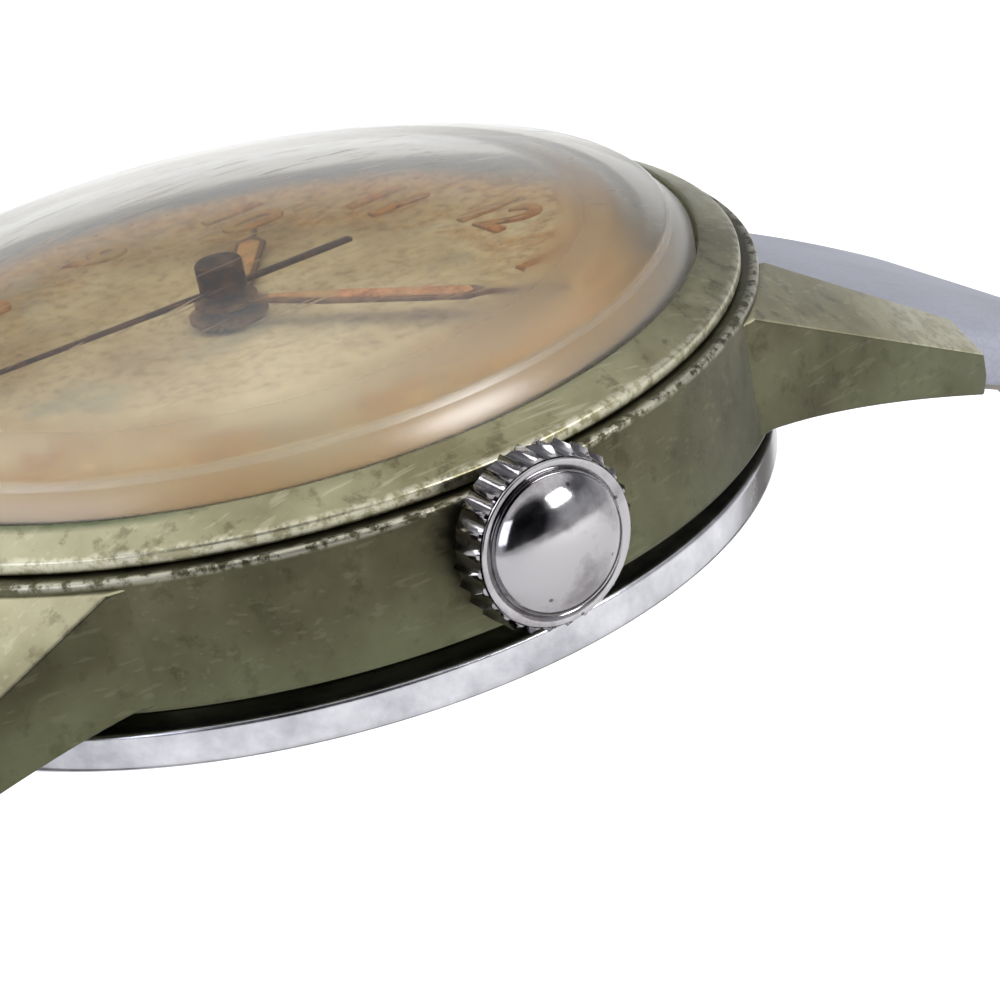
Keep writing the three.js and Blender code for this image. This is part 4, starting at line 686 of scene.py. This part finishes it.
back_steel = stainless_back()
crown_chrome = bright_chrome()
acrylic = clear_acrylic()
dial_lacquer = aged_dial()
numeral_lume = old_lume("decayed_lume_numerals", "#b97f3c", "#7a4d20")
hand_lume = old_lume("decayed_lume_hands", "#cf9468", "#96603a")
minute_metal = hand_metal("rusted_hand_steel", "#8a6a44", "#5b3418")
seconds_metal = hand_metal("browned_seconds_steel", "#3a2c26", "#5a3a26")
leather = strap_leather("grained_calf_leather", "#80828d", "#6f717a", 0.4, 0.5)
lining = strap_leather("leather_lining", "#77706a", "#5d5650", 0.3, 0.65)
stitch_thread = thread()
steel = ground_steel("ground_steel", "#c2c4c9", "#94969c", 0.18, 0.34)
buckle_steel = ground_steel("polished_buckle_steel", "#c9cacf", "#a6a7ae", 0.12, 0.26, (0.05, 1, 1))
blued = ground_steel("blued_steel", "#33436f", "#1c2440", 0.16, 0.3)
stripes = striped_nickel()
brass = gilt_brass()
rubber = seal_rubber()

# ------------------------------------------------------------------ CAD nodes that keep their shape

NODE_FINISHES = {
    "steel": steel,
    "blued_steel": blued,
    "brass": brass,
    "nickel": stripes,
    "gasket": rubber,
}
slot_of = {entry["node"]: entry["material_slot"] for entry in frame["record"]["subparts"]}
for name, node in frame["nodes"].items():
    finish = NODE_FINISHES.get(slot_of.get(name))
    if finish:
        node.data.materials.clear()
        node.data.materials.append(finish)

# ------------------------------------------------------------------ mid-case and lugs

def case_ring():
    profile = [
        (BORE_RADIUS, 1.7), (NECK_RADIUS, 1.7), (NECK_RADIUS, WALL_BOTTOM_Z - 0.2),
        (CASE_RADIUS - 0.95, WALL_BOTTOM_Z - 0.2), (CASE_RADIUS - 0.04, WALL_BOTTOM_Z),
        *arc((CASE_RADIUS - 0.1, WALL_BOTTOM_Z + 0.12), 0.1, -40, 0, 3),
        *arc((CASE_RADIUS - 0.14, CASE_TOP_Z - 0.14), 0.14, 0, 90, 5),
        (BORE_RADIUS, CASE_TOP_Z),
    ]
    return turned(profile, 256)


def lug():
    """One lug at +X +Y: its side outline, cut by its outer face and its falling top face."""
    junction_y = math.sqrt(CASE_RADIUS ** 2 - LUG_ROOT_X ** 2)
    length = LUG_TIP_Y - junction_y
    underside = []
    start_point, bend, end_point = (
        Vector((LUG_TIP_Y - 9.6, WALL_BOTTOM_Z + 0.15)),
        Vector((LUG_TIP_Y - 6.0, WALL_BOTTOM_Z - 0.5)),
        Vector((LUG_TIP_Y - 0.25, LUG_TIP_BOTTOM_Z)),
    )
    for i in range(17):
        t = i / 16
        underside.append(start_point * (1 - t) ** 2 + bend * 2 * t * (1 - t) + end_point * t ** 2)
    root_y = CASE_RADIUS - 8
    tip_middle = LUG_TIP_BOTTOM_Z + (LUG_TIP_TOP_Z - LUG_TIP_BOTTOM_Z) * 0.45
    outline = [
        (root_y, WALL_BOTTOM_Z + 0.15), *[(p.x, p.y) for p in underside],
        (LUG_TIP_Y, tip_middle), (LUG_TIP_Y, CASE_TOP_Z - 0.3), (root_y, CASE_TOP_Z - 0.3),
    ]
    bm = bmesh.new()
    face = bm.faces.new([bm.verts.new((LUG_INSIDE_X * MM, y * MM, z * MM)) for y, z in outline])
    made = bmesh.ops.extrude_face_region(bm, geom=[face])["geom"]
    far = [v for v in made if isinstance(v, bmesh.types.BMVert)]
    bmesh.ops.translate(bm, verts=far, vec=((LUG_ROOT_X + 1 - LUG_INSIDE_X) * MM, 0, 0))
    taper = math.atan2(LUG_ROOT_X - LUG_TIP_X, length)
    fall = (CASE_TOP_Z - LUG_TIP_TOP_Z) / length + (LUG_TIP_X - LUG_ROOT_X) * -LUG_CANT / length
    corner = (LUG_ROOT_X * MM, junction_y * MM, CASE_TOP_Z * MM)
    root = 15.3 * MM
    for point, normal in (
        (corner, (math.cos(taper), math.sin(taper), 0)),
        (corner, (LUG_CANT, fall, 1)),
        ((root * 0.7071, root * 0.7071, 0), (-1, -1, 0)),
    ):
        bmesh.ops.bisect_plane(
            bm, geom=bm.verts[:] + bm.edges[:] + bm.faces[:], dist=1e-8,
            plane_co=point, plane_no=Vector(normal).normalized(), clear_outer=True,
        )
        bmesh.ops.holes_fill(bm, edges=[e for e in bm.edges if e.is_boundary], sides=0)
    bmesh.ops.remove_doubles(bm, verts=bm.verts, dist=1e-8)
    bmesh.ops.recalc_face_normals(bm, faces=bm.faces)
    return soften(bm, 0.1, 25, 3)


def four_lugs():
    bm = lug()
    for flip in ((-1, 1, 1), (1, -1, 1)):
        copy = bmesh.ops.duplicate(bm, geom=bm.verts[:] + bm.edges[:] + bm.faces[:])["geom"]
        bmesh.ops.scale(bm, vec=flip, verts=[g for g in copy if isinstance(g, bmesh.types.BMVert)])
        bmesh.ops.reverse_faces(bm, faces=[g for g in copy if isinstance(g, bmesh.types.BMFace)])
    bm.normal_update()
    for face in bm.faces:
        # faces that look up take the lighter copy, painted light; all other faces take the darker copy,
        # painted shade
        face.material_index = 1 if face.normal.z > 0.4 else 0
    return bm


piece("mid_case", merged(case_ring(), four_lugs()), [plating_painted_dark_sides, plating_painted_light_tops], "case",
      ["case_body"])

piece("bezel_ring", turned([
    (BEZEL_BORE, BEZEL_SKIRT_Z),
    (BEZEL_RADIUS - 0.14, BEZEL_SKIRT_Z),
    *arc((BEZEL_RADIUS - 0.1, BEZEL_SKIRT_Z + 0.1), 0.1, -60, 0, 4),
    *arc((BEZEL_RADIUS - 0.12, BEZEL_CONE_Z - 0.02), 0.12, 0, 62, 4),
    *arc((BEZEL_BORE + 0.16, BEZEL_TOP_Z - 0.1), 0.1, 62, 170, 5),
    (BEZEL_BORE, BEZEL_TOP_Z - 0.25),
], 256), bezel_plating, "case", ["bezel"])

# ------------------------------------------------------------------ crystal

def dome(inset, steps=14):
    sphere = (CRYSTAL_SHOULDER ** 2 + CRYSTAL_RISE ** 2) / (2 * CRYSTAL_RISE)
    points = []
    for i in range(steps + 1):
        radius = (CRYSTAL_SHOULDER - inset) * (1 - i / steps)
        drop = sphere - math.sqrt(sphere ** 2 - radius ** 2)
        points.append((radius, CRYSTAL_SHOULDER_Z + CRYSTAL_RISE - inset - drop))
    return points


piece("domed_crystal", turned([
    (CRYSTAL_RIM - CRYSTAL_WALL, BEZEL_SKIRT_Z + 0.02),
    (CRYSTAL_RIM, BEZEL_SKIRT_Z + 0.02),
    (CRYSTAL_RIM, BEZEL_TOP_Z),
    (CRYSTAL_SHOULDER + 0.24, CRYSTAL_SHOULDER_Z - 0.325),
    (CRYSTAL_SHOULDER + 0.22, CRYSTAL_SHOULDER_Z - 0.3),
    (CRYSTAL_SHOULDER + 0.12, CRYSTAL_SHOULDER_Z - 0.1),
    *dome(0),
    *reversed(dome(CRYSTAL_WALL)),
    (CRYSTAL_RIM - CRYSTAL_WALL, BEZEL_TOP_Z - 0.4),
], 192), acrylic, "case", ["crystal"], smooth=40)

# ------------------------------------------------------------------ case back

piece("snap_back", turned([
    (0, 0), (12.2, 0), (12.5, 0.03), (15.2, 0.86),
    *arc((15.9, 1.25), 0.3, -60, 0, 4),
    (16.2, 2.02), *arc((16.05, 2.05), 0.15, 0, 90, 4),
    (NECK_RADIUS + 0.06, 2.2), (NECK_RADIUS + 0.06, 1.2), (NECK_RADIUS - 1.0, 1.2),
    (12.4, 0.8), (0, 0.8),
], 192), back_steel, "case", ["case_back"])

# ------------------------------------------------------------------ dial and hands

dial_disc = turned([
    (0.98, DIAL_BOTTOM_Z), (DIAL_RADIUS, DIAL_BOTTOM_Z), (DIAL_RADIUS, DIAL_TOP_Z - 0.05),
    (DIAL_RADIUS - 0.05, DIAL_TOP_Z), (0.98, DIAL_TOP_Z),
], 160)
piece("dial_disc", dial_disc, dial_lacquer, "case", ["dial"])


def numeral(text, centre, size, top):
    """One raised luminous numeral, upright, as a mesh."""
    curve = bpy.data.curves.new("numeral", "FONT")
    curve.body, curve.size = text, size * MM
    curve.align_x, curve.align_y = "CENTER", "CENTER"
    curve.extrude, curve.bevel_depth, curve.bevel_resolution = 0.02 * MM, 0.05 * MM, 2
    curve.offset = 0.02 * MM
    made = bpy.data.objects.new("numeral", curve)
    scene.collection.objects.link(made)
    bpy.context.view_layer.update()
    mesh = bpy.data.meshes.new_from_object(made.evaluated_get(bpy.context.evaluated_depsgraph_get()))
    bm = bmesh.new()
    bm.from_mesh(mesh)
    bpy.data.objects.remove(made)
    bpy.data.meshes.remove(mesh)
    bmesh.ops.remove_doubles(bm, verts=bm.verts, dist=1e-7)
    return moved(bm, Matrix.Translation((centre[0] * MM, centre[1] * MM, (top + 0.03) * MM)))


NUMERAL_RADIUS = 9.9
numerals = [
    numeral(str(hour), polar(NUMERAL_RADIUS, 90 - 30 * hour), 3.0, DIAL_TOP_Z) for hour in range(1, 13)
]
piece("lume_numerals", merged(*numerals), numeral_lume, "case")

minute_dots = []
for minute in range(60):
    x, y = polar(12.3, 6 * minute)
    dot = bmesh.new()
    bmesh.ops.create_cone(
        dot, cap_ends=True, segments=10, radius1=(0.2 if minute % 5 == 0 else 0.09) * MM,
        radius2=(0.17 if minute % 5 == 0 else 0.07) * MM, depth=0.05 * MM,
        matrix=Matrix.Translation((x * MM, y * MM, (DIAL_TOP_Z + 0.02) * MM)),
    )
    minute_dots.append(dot)
piece("minute_dots", merged(*minute_dots), numeral_lume, "case")


def lumed_hand(length, blade, half, hub, bottom, thickness, angle):
    """A pencil hand: a steel rim round a blade of luminous paint, narrowing to a needle."""
    outline = [
        (0, -hub * 0.6), (hub * 1.3, -half * 0.5), (length * 0.3, -half), (blade, -half),
        (blade + 0.5, -0.11), (length, -0.07), (length, 0.07), (blade + 0.5, 0.11), (blade, half),
        (length * 0.3, half), (hub * 1.3, half * 0.5), (0, hub * 0.6),
    ]
    body = soften(plate(outline, bottom, bottom + thickness), 0.03, 50, 2)
    fill = [
        (hub * 1.5, -half * 0.3), (length * 0.32, -half * 0.68), (blade - 0.15, -half * 0.68),
        (blade + 0.1, 0), (blade - 0.15, half * 0.68), (length * 0.32, half * 0.68),
        (hub * 1.5, half * 0.3),
    ]
    paint = soften(plate(fill, bottom - 0.02, bottom + thickness + 0.05), 0.04, 50, 2)
    for face in paint.faces:
        face.material_index = 1
    top = bottom + thickness
    boss = turned([(0, bottom), (hub, bottom), (hub, top), (hub * 0.8, top + 0.04), (0, top + 0.04)], 48)
    return moved(merged(body, paint, boss), Matrix.Rotation(math.radians(angle), 4, "Z"))


def hand_angle(node):
    """Where a CAD hand points, from its farthest corner."""
    points = [v.co for v in frame["nodes"][node].data.vertices]
    tip = max(points, key=lambda p: Vector((p.x, p.y)).length)
    return math.degrees(math.atan2(tip.y, tip.x))


hour_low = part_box("hour_hand")[0]
minute_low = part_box("minute_hand")[0]
seconds_low, seconds_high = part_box("seconds_hand")
piece("hour_hand_lumed", lumed_hand(7.4, 6.1, 0.5, 1.25, hour_low.z / MM, 0.14, hand_angle("hour_hand")),
      [minute_metal, hand_lume], "hour_wheel", ["hour_hand"])
piece(
    "minute_hand_lumed",
    lumed_hand(11.6, 8.35, 0.42, 1.0, minute_low.z / MM, 0.14, hand_angle("minute_hand"),
),
      [minute_metal, hand_lume], "centre_wheel", ["minute_hand"])


def seconds_needle():
    bottom = seconds_low.z / MM
    top = seconds_high.z / MM
    needle = soften(plate([
        (-4.6, -0.17), (0, -0.14), (11.7, -0.05), (11.7, 0.05), (0, 0.14), (-4.6, 0.17),
    ], bottom, bottom + 0.13), 0.03, 50, 2)
    boss = turned([
        (0, bottom), (0.75, bottom), (0.75, top - 0.12), *arc((0.63, top - 0.12), 0.12, 0, 90, 4), (0, top),
    ], 48)
    return moved(merged(needle, boss), Matrix.Rotation(math.radians(hand_angle("seconds_hand")), 4, "Z"))


piece("seconds_needle", seconds_needle(), seconds_metal, "fourth_wheel", ["seconds_hand"])

# ------------------------------------------------------------------ crown

def fluted_grip():
    """The grip's wall: narrow ridges with scooped flutes, bevelled at both ends."""
    around = CROWN_TEETH * 12
    bm = bmesh.new()
    bmesh.ops.create_circle(bm, segments=around, radius=CROWN_RADIUS * MM, cap_ends=False)
    ring = list(bm.verts)
    limits = [
        (0, CROWN_RADIUS - 0.24), (0.22, CROWN_RADIUS), (1.02, CROWN_RADIUS), (1.24, CROWN_RADIUS - 0.17),
        (1.3, CROWN_RADIUS - 0.24), (1.3, 2.47), (1.2, 2.45),
    ]

    def shape(verts, height, limit):
        for v in verts:
            turn = math.atan2(v.co.y, v.co.x)
            step = (turn / (2 * math.pi) * CROWN_TEETH) % 1
            away = 1 - 2 * min(step, 1 - step)
            tooth = CROWN_RADIUS - CROWN_FLUTE * math.sqrt(max(0, 1 - away ** 2))
            radius = min(tooth, limit)
            v.co = Vector((math.cos(turn) * radius * MM, math.sin(turn) * radius * MM, height * MM))

    shape(ring, *limits[0])
    edges = list(bm.edges)
    back = bm.faces.new(ring)
    for height, limit in limits[1:]:
        made = bmesh.ops.extrude_edge_only(bm, edges=edges)["geom"]
        ring = [g for g in made if isinstance(g, bmesh.types.BMVert)]
        edges = [g for g in made if isinstance(g, bmesh.types.BMEdge) and g.is_boundary]
        shape(ring, height, limit)
    bmesh.ops.holes_fill(bm, edges=edges, sides=0)
    bmesh.ops.recalc_face_normals(bm, faces=bm.faces)
    return bm


def crown_dome():
    lip = CROWN_DOME_RADIUS + 0.34
    points = [
        (0, 1.0), (lip, 1.0), (lip, 1.3), *arc((lip - 0.06, 1.34), 0.06, 0, 90, 3),
        (CROWN_DOME_RADIUS + 0.08, 1.36), (CROWN_DOME_RADIUS, 1.3),
    ]
    for i in range(1, 19):
        turn = math.radians(90 * i / 18)
        points.append((CROWN_DOME_RADIUS * math.cos(turn), 1.3 + CROWN_DOME_RISE * math.sin(turn)))
    points[-1] = (0, points[-1][1])
    return turned(points, 96)


on_stem = Matrix.Translation((CROWN_BACK_X * MM, 0, STEM_Z * MM)) @ Matrix.Rotation(math.radians(90), 4, "Y")
piece(
    "fluted_crown", moved(merged(fluted_grip(), crown_dome()), on_stem), crown_chrome, "crown",
    ["crown"], smooth=28,
)

# ------------------------------------------------------------------ strap

def strap_place(distance, turn_radius):
    """The strap's middle line from its spring bar: place in Y and Z, and its slope below horizontal."""
    side = (math.radians(90 - STRAP_START) - STRAP_TOP_RUN / STRAP_TOP_RADIUS) * STRAP_SIDE_RADIUS
    y, z, slope, left = BAR_Y, BAR_Z, math.radians(STRAP_START), distance
    runs = (
        (STRAP_TOP_RUN, STRAP_TOP_RADIUS), (side, STRAP_SIDE_RADIUS),
        (math.pi / 2 * turn_radius, turn_radius),
    )
    for length, radius in runs:
        step = min(left, length)
        further = slope + step / radius
        y += radius * (math.sin(further) - math.sin(slope))
        z += radius * (math.cos(further) - math.cos(slope))
        slope, left = further, left - step
    return y + left * math.cos(slope), z - left * math.sin(slope), slope


def strap_half(distance):
    """Half the strap's thickness: padded near the case, with a round nose on the spring bar."""
    if distance < 0:
        return math.sqrt(max(0, STRAP_NOSE ** 2 - distance ** 2))
    return 1 + (STRAP_NOSE - 1) * max(0, 1 - distance / 30)


def strap_width(z):
    share = min(1, max(0, (BAR_Z - 2 - z) / 28))
    return STRAP_TOP_HALF + (STRAP_END_HALF - STRAP_TOP_HALF) * share


def tip_share(distance, length, reach=8.5):
    """How much of the strap's width is left in its pointed, rounded tip."""
    left = length - distance
    return 1 if left >= reach else math.sqrt(max(0, 1 - ((reach - left) / reach) ** 2.2))


def strap_solid(length, turn_radius, pointed, side):
    """A lofted strap: a soft-edged section carried along the middle line. side is 1 at 12 o'clock."""
    along = 150
    bm, order, edges, turns = open_ring(32)

    def shape(verts, distance):
        y, z, slope = strap_place(max(distance, 0), turn_radius)
        if distance < 0:
            y, z = y + distance * math.cos(slope), z - distance * math.sin(slope)
        half = max(strap_half(distance), 0.02)
        width = strap_width(z)
        if pointed:
            width = max(width * tip_share(distance, length), 0.1)
        last = length - distance
        if last < 0.6:
            half *= math.sqrt(max(0.05, 1 - (1 - last / 0.6) ** 2))
        for v, turn in zip(verts, turns):
            across = eased(math.cos(turn), 0.22) * width
            out = eased(math.sin(turn), 0.42) * half
            if out > 0:
                out *= 1 - 0.16 * min(1, abs(across) / 8.7) ** 4
            v.co = Vector((
                across * MM,
                side * (y + out * math.sin(slope)) * MM,
                (z + out * math.cos(slope)) * MM,
            ))

    stations = [-STRAP_NOSE * math.cos(math.pi / 2 * i / 6) for i in range(6)]
    stations += [(length - 0.6) * (i / along) for i in range(along + 1)]
    stations += [length - 0.35, length - 0.12, length]
    shape(order, stations[0])
    bm.faces.new(order)
    for distance in stations[1:]:
        order, edges = next_ring(bm, order, edges)
        shape(order, distance)
    bm.faces.new(order)
    bmesh.ops.recalc_face_normals(bm, faces=bm.faces)
    return bm


STITCH_SIZE = Matrix.Diagonal((0.4 * MM, 2.0 * MM, 0.26 * MM, 1))


def line_of_stitches(turn_radius, first, last, side):
    """Stitches along both edges of a strap half, 2.9 mm apart."""
    stitches = []
    count = int((last - first) / 2.9)
    for i in range(count):
        distance = first + (last - first) * (i + 0.5) / count
        y, z, slope = strap_place(distance, turn_radius)
        width = strap_width(z) - 1.5
        half = strap_half(distance) * 0.9
        for x in (-width, width):
            for face in (1, -1):
                one = bmesh.new()
                bmesh.ops.create_uvsphere(one, u_segments=6, v_segments=4, radius=0.5)
                spot = Vector(
                    (x, side * (y + face * half * math.sin(slope)), z + face * half * math.cos(slope)),
                )
                turn = Matrix.Rotation(-slope * side, 4, "X")
                bmesh.ops.transform(
                    one, verts=one.verts,
                    matrix=Matrix.Translation(spot * MM) @ turn @ STITCH_SIZE,
                )
                stitches.append(one)
    return merged(*stitches)


def punched(bm, cutters):
    """Cuts holes through a mesh."""
    objects = []
    for name, source in (("body", bm), ("tool", cutters)):
        mesh = bpy.data.meshes.new(name)
        source.to_mesh(mesh)
        source.free()
        objects.append(bpy.data.objects.new(name, mesh))
        scene.collection.objects.link(objects[-1])
    cut = objects[0].modifiers.new("holes", "BOOLEAN")
    cut.operation, cut.solver, cut.object = "DIFFERENCE", "EXACT", objects[1]
    bpy.context.view_layer.update()
    mesh = bpy.data.meshes.new_from_object(objects[0].evaluated_get(bpy.context.evaluated_depsgraph_get()))
    made = bmesh.new()
    made.from_mesh(mesh)
    for unused in objects:
        bpy.data.objects.remove(unused)
    return made


def hole_tools():
    tools = []
    for i in range(6):
        y, z, slope = strap_place(STRAP_TAIL_LENGTH - 24 - 6.5 * i, STRAP_TAIL_TURN)
        tool = bmesh.new()
        bmesh.ops.create_cone(
            tool, cap_ends=True, segments=32, radius1=0.9 * MM, radius2=0.9 * MM, depth=6 * MM,
            matrix=Matrix.Translation((0, y * MM, z * MM)) @ Matrix.Rotation(-slope, 4, "X"),
        )
        tools.append(tool)
    return merged(*tools)


def leather_faces(bm):
    """Gives the face against the wrist the lining."""
    bm.normal_update()
    for face in bm.faces:
        c = face.calc_center_median() / MM
        inward = Vector((0, -c.y, -20 - c.z)).normalized()
        if face.normal.dot(inward) > 0.6:
            face.material_index = 1
    return bm


tail = leather_faces(punched(strap_solid(STRAP_TAIL_LENGTH, STRAP_TAIL_TURN, True, 1), hole_tools()))
piece("strap_tail_leather", tail, [leather, lining], "strap_tail", ["strap_tail"], smooth=45)
piece("strap_tail_stitches", line_of_stitches(STRAP_TAIL_TURN, STITCHES_START, STRAP_TAIL_LENGTH - 12, 1),
      stitch_thread, "strap_tail")

buckle_half = strap_solid(STRAP_BUCKLE_LENGTH, STRAP_BUCKLE_TURN, False, -1)
BUCKLE_Y, BUCKLE_Z, _ = strap_place(STRAP_BUCKLE_LENGTH, STRAP_BUCKLE_TURN)
slot_tool = bmesh.new()
slot_place = Matrix.Translation((0, -(BUCKLE_Y - 0.7) * MM, BUCKLE_Z * MM))
slot_size = Matrix.Diagonal((2.0 * MM, 4.6 * MM, 6 * MM, 1))
bmesh.ops.create_cube(slot_tool, size=1, matrix=slot_place @ slot_size)
piece("strap_buckle_leather", leather_faces(punched(buckle_half, slot_tool)),
      [leather, lining], "strap_buckle_half", ["strap_buckle_half"], smooth=45)
piece("strap_buckle_stitches", line_of_stitches(STRAP_BUCKLE_TURN, STITCHES_START, STITCHES_END, -1),
      stitch_thread, "strap_buckle_half")


def keeper_loop(distance):
    """A leather band round both layers of the strap, following its curve."""
    width, wall, room = 4.2, 0.75, 0.14
    bm, order, edges, turns = open_ring(40)
    half_x = STRAP_END_HALF + room + wall / 2
    for k in range(7):
        at = distance + width * (k / 6 - 0.5)
        y, z, slope = strap_place(at, STRAP_BUCKLE_TURN)
        low, high = -(1 + room + wall / 2), 1 + 2.1 + wall / 2
        if k:
            order, edges = next_ring(bm, order, edges)
        for v, turn in zip(order, turns):
            x = eased(math.cos(turn), 0.25) * half_x
            out = eased(math.sin(turn), 0.3) * (high - low) / 2 + (high + low) / 2
            v.co = Vector((x * MM, -(y + out * math.sin(slope)) * MM, (z + out * math.cos(slope)) * MM))
    bmesh.ops.recalc_face_normals(bm, faces=bm.faces)
    bmesh.ops.solidify(bm, geom=bm.faces[:], thickness=wall * MM)
    bmesh.ops.recalc_face_normals(bm, faces=bm.faces)
    return soften(bm, 0.12, 60, 2)


piece(
    "keeper_fixed", keeper_loop(STRAP_BUCKLE_LENGTH - FIXED_KEEPER_BACK), leather, "strap_buckle_half",
    ["fixed_keeper"], smooth=40,
)
piece(
    "keeper_free", keeper_loop(STRAP_BUCKLE_LENGTH - FREE_KEEPER_BACK), leather, "free_keeper",
    ["free_keeper"], smooth=40,
)

# ------------------------------------------------------------------ buckle

def wire(path, radius_x, radius_z, around=20):
    """A rounded bar bent along a path of [x, y, z] points."""
    bm, order, edges, turns = open_ring(around)
    points = [Vector(p) for p in path]
    for k, point in enumerate(points):
        ahead = (points[min(k + 1, len(points) - 1)] - points[max(k - 1, 0)]).normalized()
        across = ahead.cross(Vector((0, 0, 1))).normalized()
        up = across.cross(ahead)
        if k:
            order, edges = next_ring(bm, order, edges)
        else:
            first = list(order)
        for v, turn in zip(order, turns):
            x = eased(math.cos(turn), 0.7) * radius_x
            z = eased(math.sin(turn), 0.7) * radius_z
            v.co = (point + across * x + up * z) * MM
    bm.faces.new(first)
    bm.faces.new(order)
    bmesh.ops.recalc_face_normals(bm, faces=bm.faces)
    return bm


def buckle_outline():
    inner = STRAP_END_HALF + 0.25
    middle = inner + 0.675
    back = -(BUCKLE_Y + 0.9)
    front = -(BUCKLE_Y - 6.2 - 0.8)
    corner = 1.9
    path = [(-middle, back, BUCKLE_Z), (-middle, back + 2, BUCKLE_Z)]
    for centre, first in ((corner - middle, 180), (middle - corner, 90)):
        for i in range(7):
            turn = math.radians(first - 90 * i / 6)
            x = centre + corner * math.cos(turn)
            path.append((x, front - corner + corner * math.sin(turn), BUCKLE_Z))
    path += [(middle, back + 2, BUCKLE_Z), (middle, back, BUCKLE_Z)]
    return path


piece(
    "buckle_frame_steel", wire(buckle_outline(), 0.67, 0.74), buckle_steel, "buckle_frame",
    ["buckle_frame"], smooth=50,
)


def tongue():
    low = BUCKLE_Z - 0.75
    path = [(0, -BUCKLE_Y, BUCKLE_Z - 0.75)]
    for i in range(1, 13):
        t = i / 12
        path.append((0, -BUCKLE_Y + 7.7 * t, low + 0.05 * math.sin(math.pi * t)))
    bar = wire(path, 0.62, 0.24, 16)
    eye = turned([(0.56, -0.75), (0.9, -0.75), (0.9, 0.75), (0.56, 0.75)], 32)
    soften(eye, 0.06, 50, 2)
    moved(
        eye,
        Matrix.Translation((0, -BUCKLE_Y * MM, BUCKLE_Z * MM)) @ Matrix.Rotation(math.radians(90), 4, "Y"),
    )
    return merged(bar, eye)


piece(
    "buckle_tongue_steel", tongue(), buckle_steel, "buckle_tongue", ["buckle_tongue"],
    smooth=50,
)

# ------------------------------------------------------------------ floor, light and camera

def stage_material():
    """Matt white paper sweep with a faint tooth."""
    made, tree, surface, place = start("white_paper_sweep", Roughness=0.9, Specular_IOR_Level=0.1)
    tooth = add(tree, "TexNoise", {"Scale": per(3.0), "Detail": 3.0}, Vector=place)
    colour = add(
        tree, "ValToRGB", {"stops": [(0.0, "#f1f1f0"), (1.0, "#fbfbfa")]}, Fac=tooth.outputs["Fac"],
    )
    join_surface(tree, surface, colour.outputs["Color"])
    return made


floor_mesh = bmesh.new()
bmesh.ops.create_grid(floor_mesh, x_segments=1, y_segments=1, size=4.0)
moved(floor_mesh, Matrix.Translation((0, 0, FLOOR_Z * MM)))
sheet = bpy.data.meshes.new("floor")
floor_mesh.to_mesh(sheet)
floor_mesh.free()
floor = bpy.data.objects.new("floor", sheet)
scene.collection.objects.link(floor)
sheet.materials.append(stage_material())

world = bpy.data.worlds.new("studio")
scene.world = world
world.use_nodes = True

# a dim room under a broad bright ceiling, so that polished metal has something dark to mirror
sky = world.node_tree
looking = add(sky, "TexCoord")
rising = add(sky, "SeparateXYZ", Vector=looking.outputs["Generated"])
room = add(
    sky, "ValToRGB",
    {"stops": [
        (0.0, "#c4c5c8"), (0.22, "#a9aaae"), (0.38, "#6b6c70"), (0.55, "#7b7c80"), (0.74, "#fdfdff"),
        (1.0, WHITE),
    ]},
    Fac=rising.outputs["Z"],
)
toward_dark = add(
    sky, "VectorMath", {"operation": "DOT_PRODUCT", 1: (0.84, -0.44, 0.32)},
    i0=looking.outputs["Generated"],
)
dark_end = add(
    sky, "ValToRGB", {"stops": [(0.62, WHITE), (0.84, "#3c3d40")]}, Fac=toward_dark.outputs["Value"],
)
shaded = add(
    sky, "MixRGB", {"blend_type": "MULTIPLY", "Fac": 1.0},
    Color1=room.outputs["Color"], Color2=dark_end.outputs["Color"],
)
sky.links.new(shaded.outputs["Color"], sky.nodes["Background"].inputs["Color"])
sky.nodes["Background"].inputs["Strength"].default_value = 1.6


def softbox(name, place, aim, size, power, colour="#ffffff"):
    lamp = bpy.data.lights.new(name, "AREA")
    lamp.shape, lamp.size, lamp.size_y = "RECTANGLE", size[0] * MM, size[1] * MM
    lamp.energy, lamp.color = power, linear(colour)[:3]
    made = bpy.data.objects.new(name, lamp)
    scene.collection.objects.link(made)
    made.location = Vector(place) * MM
    made.rotation_mode = "QUATERNION"
    made.rotation_quaternion = (Vector(aim) - Vector(place)).to_track_quat("-Z", "Y")


softbox("key", (380, 215, 250), (0, 0, 0), (190, 170), 2.4)
softbox("fill", (120, -420, 200), (0, 0, 0), (300, 260), 1.0, "#eef2ff")
softbox("back_light", (-360, -260, 320), (0, 0, 0), (240, 200), 0.8)

CAMERA_TURN, CAMERA_RISE, CAMERA_ROLL = 27.7937, 23.9125, -11.5486
CAMERA_PAN = (-7.1355, -0.5808, -116.6985)
turn, rise, roll = (math.radians(v) for v in (CAMERA_TURN, CAMERA_RISE, CAMERA_ROLL))
back = Vector((math.cos(turn) * math.cos(rise), -math.sin(turn) * math.cos(rise), math.sin(rise)))
level = Vector((0, 0, 1)).cross(back).normalized()
upward = back.cross(level)
right = level * math.cos(roll) + upward * math.sin(roll)
top = upward * math.cos(roll) - level * math.sin(roll)
camera_data = bpy.data.cameras.new("camera")
camera_data.sensor_width, camera_data.lens = 36, 131.234
camera_data.clip_start, camera_data.clip_end = 0.001, 20
camera = bpy.data.objects.new("camera", camera_data)
scene.collection.objects.link(camera)
camera.rotation_mode = "QUATERNION"
camera.rotation_quaternion = Matrix((right, top, back)).transposed().to_quaternion()
stand = right * CAMERA_PAN[0] + top * CAMERA_PAN[1] + back * CAMERA_PAN[2]
camera.location = (Vector((0, 0, 1)) - stand) * MM
scene.camera = camera
scene.view_settings.view_transform = "Standard"
